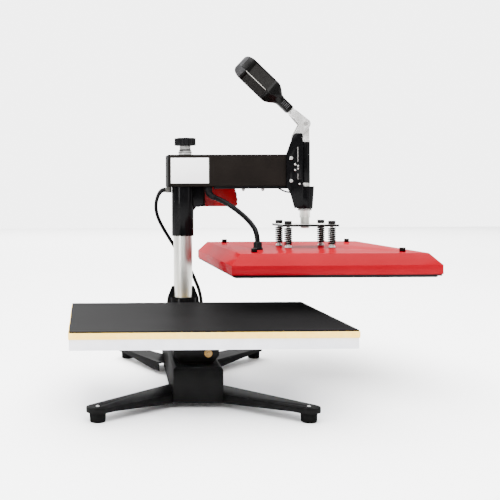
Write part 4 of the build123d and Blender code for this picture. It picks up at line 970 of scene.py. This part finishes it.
def base_screws():
    """Small domed screws over the feet and hexagon bolts on the post's flange."""
    screw = [(0, 6.6), (0.8, 6.4), (1.6, 4.6), (2.0, 2.6)]
    bolt = [(0, 13), (0.8, 13), (0.9, 11.4), (6, 11.4), (6.8, 9.8)]
    pieces = [ring_stack(*on_base(x, y), 26, screw, 20) for x, y in FEET]
    pieces += [ring_stack(*on_base(x, y), 82, bolt, 6) for x in (-32, 32) for y in (-32, 32)]
    return joined("base_screws", pieces)


finish_piece(base_screws(), "base", bright_steel, "steel", "base_fasteners")


def earth_screw():
    """Brass earth screw with its washer and nut on the pedestal's front."""
    x, y = on_base(22.5, BED_Y - 60)
    z = 94
    lean = (math.pi / 2, 0, -math.radians(BASE_TURN))
    washer = ring_stack(x, y, z, [(0, 14), (0.4, 15), (1.4, 15), (1.8, 14)], 32, lean)
    nut = ring_stack(x, y - 1.6, z, [(0, 10.4), (0.4, 11), (3.6, 11), (4.4, 9)], 6, lean)
    end = ring_stack(x, y - 5.5, z, [(0, 5), (2.4, 5), (3, 4)], 20, lean)
    return joined("earth_screw", [washer, nut, end])


finish_piece(earth_screw(), "base", brass, "bearing_bronze")


# Controller

PANEL_TILT = math.atan2(23.0, 108.0)
PANEL_MIDDLE = (120.5, 72.0, 420.0)
CONTROL_FAR_Y = 114.0
# Height of the panel's face over its middle plane, and of the window and the buttons up the panel
PANEL_FACE, WINDOW_UP, BUTTONS_UP = 3.0, 21.6, -27.0


def on_panel(piece):
    """Lays a piece made flat at the world's origin onto the controller's leaning panel."""
    lean, rise = math.cos(PANEL_TILT), math.sin(PANEL_TILT)
    x, y, z = spot(*PANEL_MIDDLE)
    piece.matrix_world = Matrix(((0, -rise, lean, x), (1, 0, 0, y), (0, lean, rise, z), (0, 0, 0, 1)))
    return settle(piece)


def flat_stack(x, y, z, rows, sides=32):
    """A turned form standing on the world's origin plane, in millimetres."""
    return ring_stack(x - POST_X, y - POST_Y, z, rows, sides)


def flat_block(width, height, y, z0, z1):
    """A box on the world's origin plane, middled across, in millimetres."""
    return box_at((0, y / 1000, (z0 + z1) / 2000), (width / 1000, height / 1000, (z1 - z0) / 1000))


def panel_bezel():
    """Raised bezel round the display window."""
    rim = cut_by(flat_block(57, 33, WINDOW_UP, PANEL_FACE - 0.1, 4.2), flat_block(50.4, 26.4, WINDOW_UP, 0, 6))
    return on_panel(joined("panel_bezel", [chamfered(rim, 0.4, 2)]))


def panel_screws():
    """Domed screws at the panel's corners."""
    rows = [(0, 5), (0.6, 5), (1.2, 3.6)]
    screws = [flat_stack(x, y, PANEL_FACE - 0.1, rows, 20) for x in (-30.5, 30.5) for y in (-38.5, 38.5)]
    return on_panel(joined("panel_screws", screws))


def button_collars():
    """Thin collars round the three buttons."""
    collars = []
    for x in (-22, 0, 22):
        collar = flat_stack(x, BUTTONS_UP, PANEL_FACE - 0.1, [(0, 15.4), (0.7, 15.4), (1.0, 14.6)], 40)
        collars.append(cut_by(collar, flat_stack(x, BUTTONS_UP, 1, [(0, 11.8), (4, 11.8)], 40)))
    return on_panel(joined("button_collars", collars))


def hood_louvres():
    """Raised louvres on the far wall of the red hood."""
    bars = []
    for i in range(6):
        z = 384 + 6 * i
        bar = block(68, 100 - 0.8 * i, CONTROL_FAR_Y - 0.4, CONTROL_FAR_Y + 1.4, z, z + 2.6)
        bars.append(chamfered(bar, 0.7, 3))
    return joined("hood_louvres", bars)


def box_screws():
    """Small screws that hold the controller's black rear box."""
    rows = [(0, 5.4), (0.8, 5.4), (1.6, 3.8)]
    screws = [ring_stack(x, CONTROL_FAR_Y, z, rows, 20, TO_FAR) for x in (29, 49) for z in (372, 468)]
    return joined("box_screws", screws)


def rocker_bezel():
    """Bezel round the power rocker."""
    rim = block(29.6, 48.4, CONTROL_FAR_Y - 0.4, CONTROL_FAR_Y + 1.3, 406.6, 433.4)
    opening = block(31.6, 46.4, CONTROL_FAR_Y - 2, CONTROL_FAR_Y + 3, 408.6, 431.4)
    return joined("rocker_bezel", [chamfered(cut_by(rim, opening), 0.4, 2)])


finish_piece(panel_bezel(), "arm", gloss_black, "black_plastic")
finish_piece(panel_screws(), "arm", bright_steel, "steel")
finish_piece(button_collars(), "arm", dull_steel, "steel")
finish_piece(hood_louvres(), "arm", hood_red, "red_paint")
finish_piece(box_screws(), "arm", bright_steel, "steel")
finish_piece(rocker_bezel(), "arm", gloss_black, "black_plastic")


# Coil's tie, arm's underside and label

def coil_tie():
    """Soft strap with its tab, round the coiled spare cord."""
    y = COIL_Y - 46
    strap = chamfered(block(COIL_X - 4.6, COIL_X + 4.6, y - 9.2, y + 9.2, 0.1, 17.6), 3.6, 5)
    tab = chamfered(block(COIL_X - 3.4, COIL_X + 3.4, y - 7.0, y + 7.4, 16.8, 19.2), 0.9, 3)
    return joined("coil_tie", [strap, tab])


finish_piece(coil_tie(), "base", soft_rubber, "rubber_black")


def arm_lip():
    """Folded lip that hides the wiring along the arm's lower near edge."""
    lip = block(68, 234, -ARM_SIDE_Y + 0.4, -20.0, ARM_BOTTOM_Z - 5.4, ARM_BOTTOM_Z + 0.2)
    start_editing(lip)
    bpy.ops.mesh.select_mode(type="FACE")
    bpy.ops.mesh.select_all(action="DESELECT")
    done_editing()
    for face in lip.data.polygons:
        face.select = face.normal.z < -0.9
    bpy.ops.object.mode_set(mode="EDIT")
    bpy.ops.mesh.inset(thickness=0.0016, depth=-0.003)
    done_editing()
    return joined("arm_lip", [chamfered(lip, 0.6, 2)])


finish_piece(arm_lip(), "arm", gloss_black, "black_gloss")


def arm_studs():
    """Small domed nuts under the arm's lip."""
    rows = [(0, 8.4), (-5, 8.4), (-7.0, 6.6), (-9.0, 3.5)]
    return joined("arm_studs", [ring_stack(x, -24.8, ARM_BOTTOM_Z - 1.5, rows, 6) for x in (134, 178)])


finish_piece(arm_studs(), "arm", dull_steel, "steel")

SWITCH_WIRE = [(205, -25, 411.5), (212, -25, 408), (222, -25, 402), (233, -25, 398), (244, -24, 397.5),
               (252, -22, 399)]
wire_piece = smooth_line("switch_wire", SWITCH_WIRE, 3.6, 4)
wire_piece.data.materials.append(cable_skin)
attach(wire_piece, "arm")


def label():
    """Bare white label on the arm's near side."""
    x, half_w, half_h = 13.0, 42.5, 28.5
    z = (ARM_BOTTOM_Z + ARM_TOP_Z) / 2
    film = block(x - half_w, x + half_w, -ARM_SIDE_Y - 0.6, -ARM_SIDE_Y + 0.1, z - half_h, z + half_h)
    return joined("blank_label", [chamfered(film, 0.25, 2)])


finish_piece(label(), "arm", label_film, "label_white", "rating_plate")


# Studio

bpy.ops.object.select_all(action="DESELECT")
bpy.ops.mesh.primitive_plane_add(size=14, location=(0, 2, 0))
floor = bpy.context.object
floor.name = "floor"
pale = coating("pale floor", (0.92, 0.92, 0.92), 0.7, shine=0.5)
vary_colour(pale, cloud(pale, 0.8), (0.91, 0.91, 0.91), (0.93, 0.93, 0.93))
floor.data.materials.append(pale)


def soft_light(name, place, aim, power, width, height):
    """A large soft box."""
    bpy.ops.object.select_all(action="DESELECT")
    bpy.ops.object.light_add(type="AREA", location=place)
    lamp = bpy.context.object
    lamp.name = name
    lamp.data.shape = "RECTANGLE"
    lamp.data.size = width
    lamp.data.size_y = height
    lamp.data.energy = power
    lamp.rotation_euler = (Vector(aim) - Vector(place)).to_track_quat("-Z", "Y").to_euler()


soft_light("top light", (0.2, 0.1, 3.0), (0.1, 0.1, 0.0), 420, 4.0, 3.8)
soft_light("back light", (0.2, 6.0, 4.6), (0.2, 5.5, 0.0), 1700, 9.0, 5.0)
soft_light("front light", (0.1, -2.3, 2.7), (0.0, -0.1, 0.2), 170, 3.0, 2.0)
soft_light("left light", (-1.8, -1.65, 0.9), (-0.1, 0.1, 0.35), 52, 0.4, 1.4)
soft_light("right light", (2.3, -1.3, 1.0), (0.1, 0.0, 0.3), 14, 0.7, 1.6)

# The surroundings, bright behind the press and dimmer towards the viewer
world = bpy.data.worlds.new("studio")
bpy.context.scene.world = world
world.use_nodes = True
sky = world.node_tree.nodes["Background"]
sky.inputs["Color"].default_value = (1, 1, 1, 1)
heading = part_of(world, "ShaderNodeTexCoord")
split = part_of(world, "ShaderNodeSeparateXYZ")
wire(world, heading.outputs["Generated"], split.inputs["Vector"])
brightness = spanned(world, split.outputs["Y"], (-0.15, 0.85), (0.45, 5.0), "SMOOTHSTEP")
wire(world, brightness, sky.inputs["Strength"])
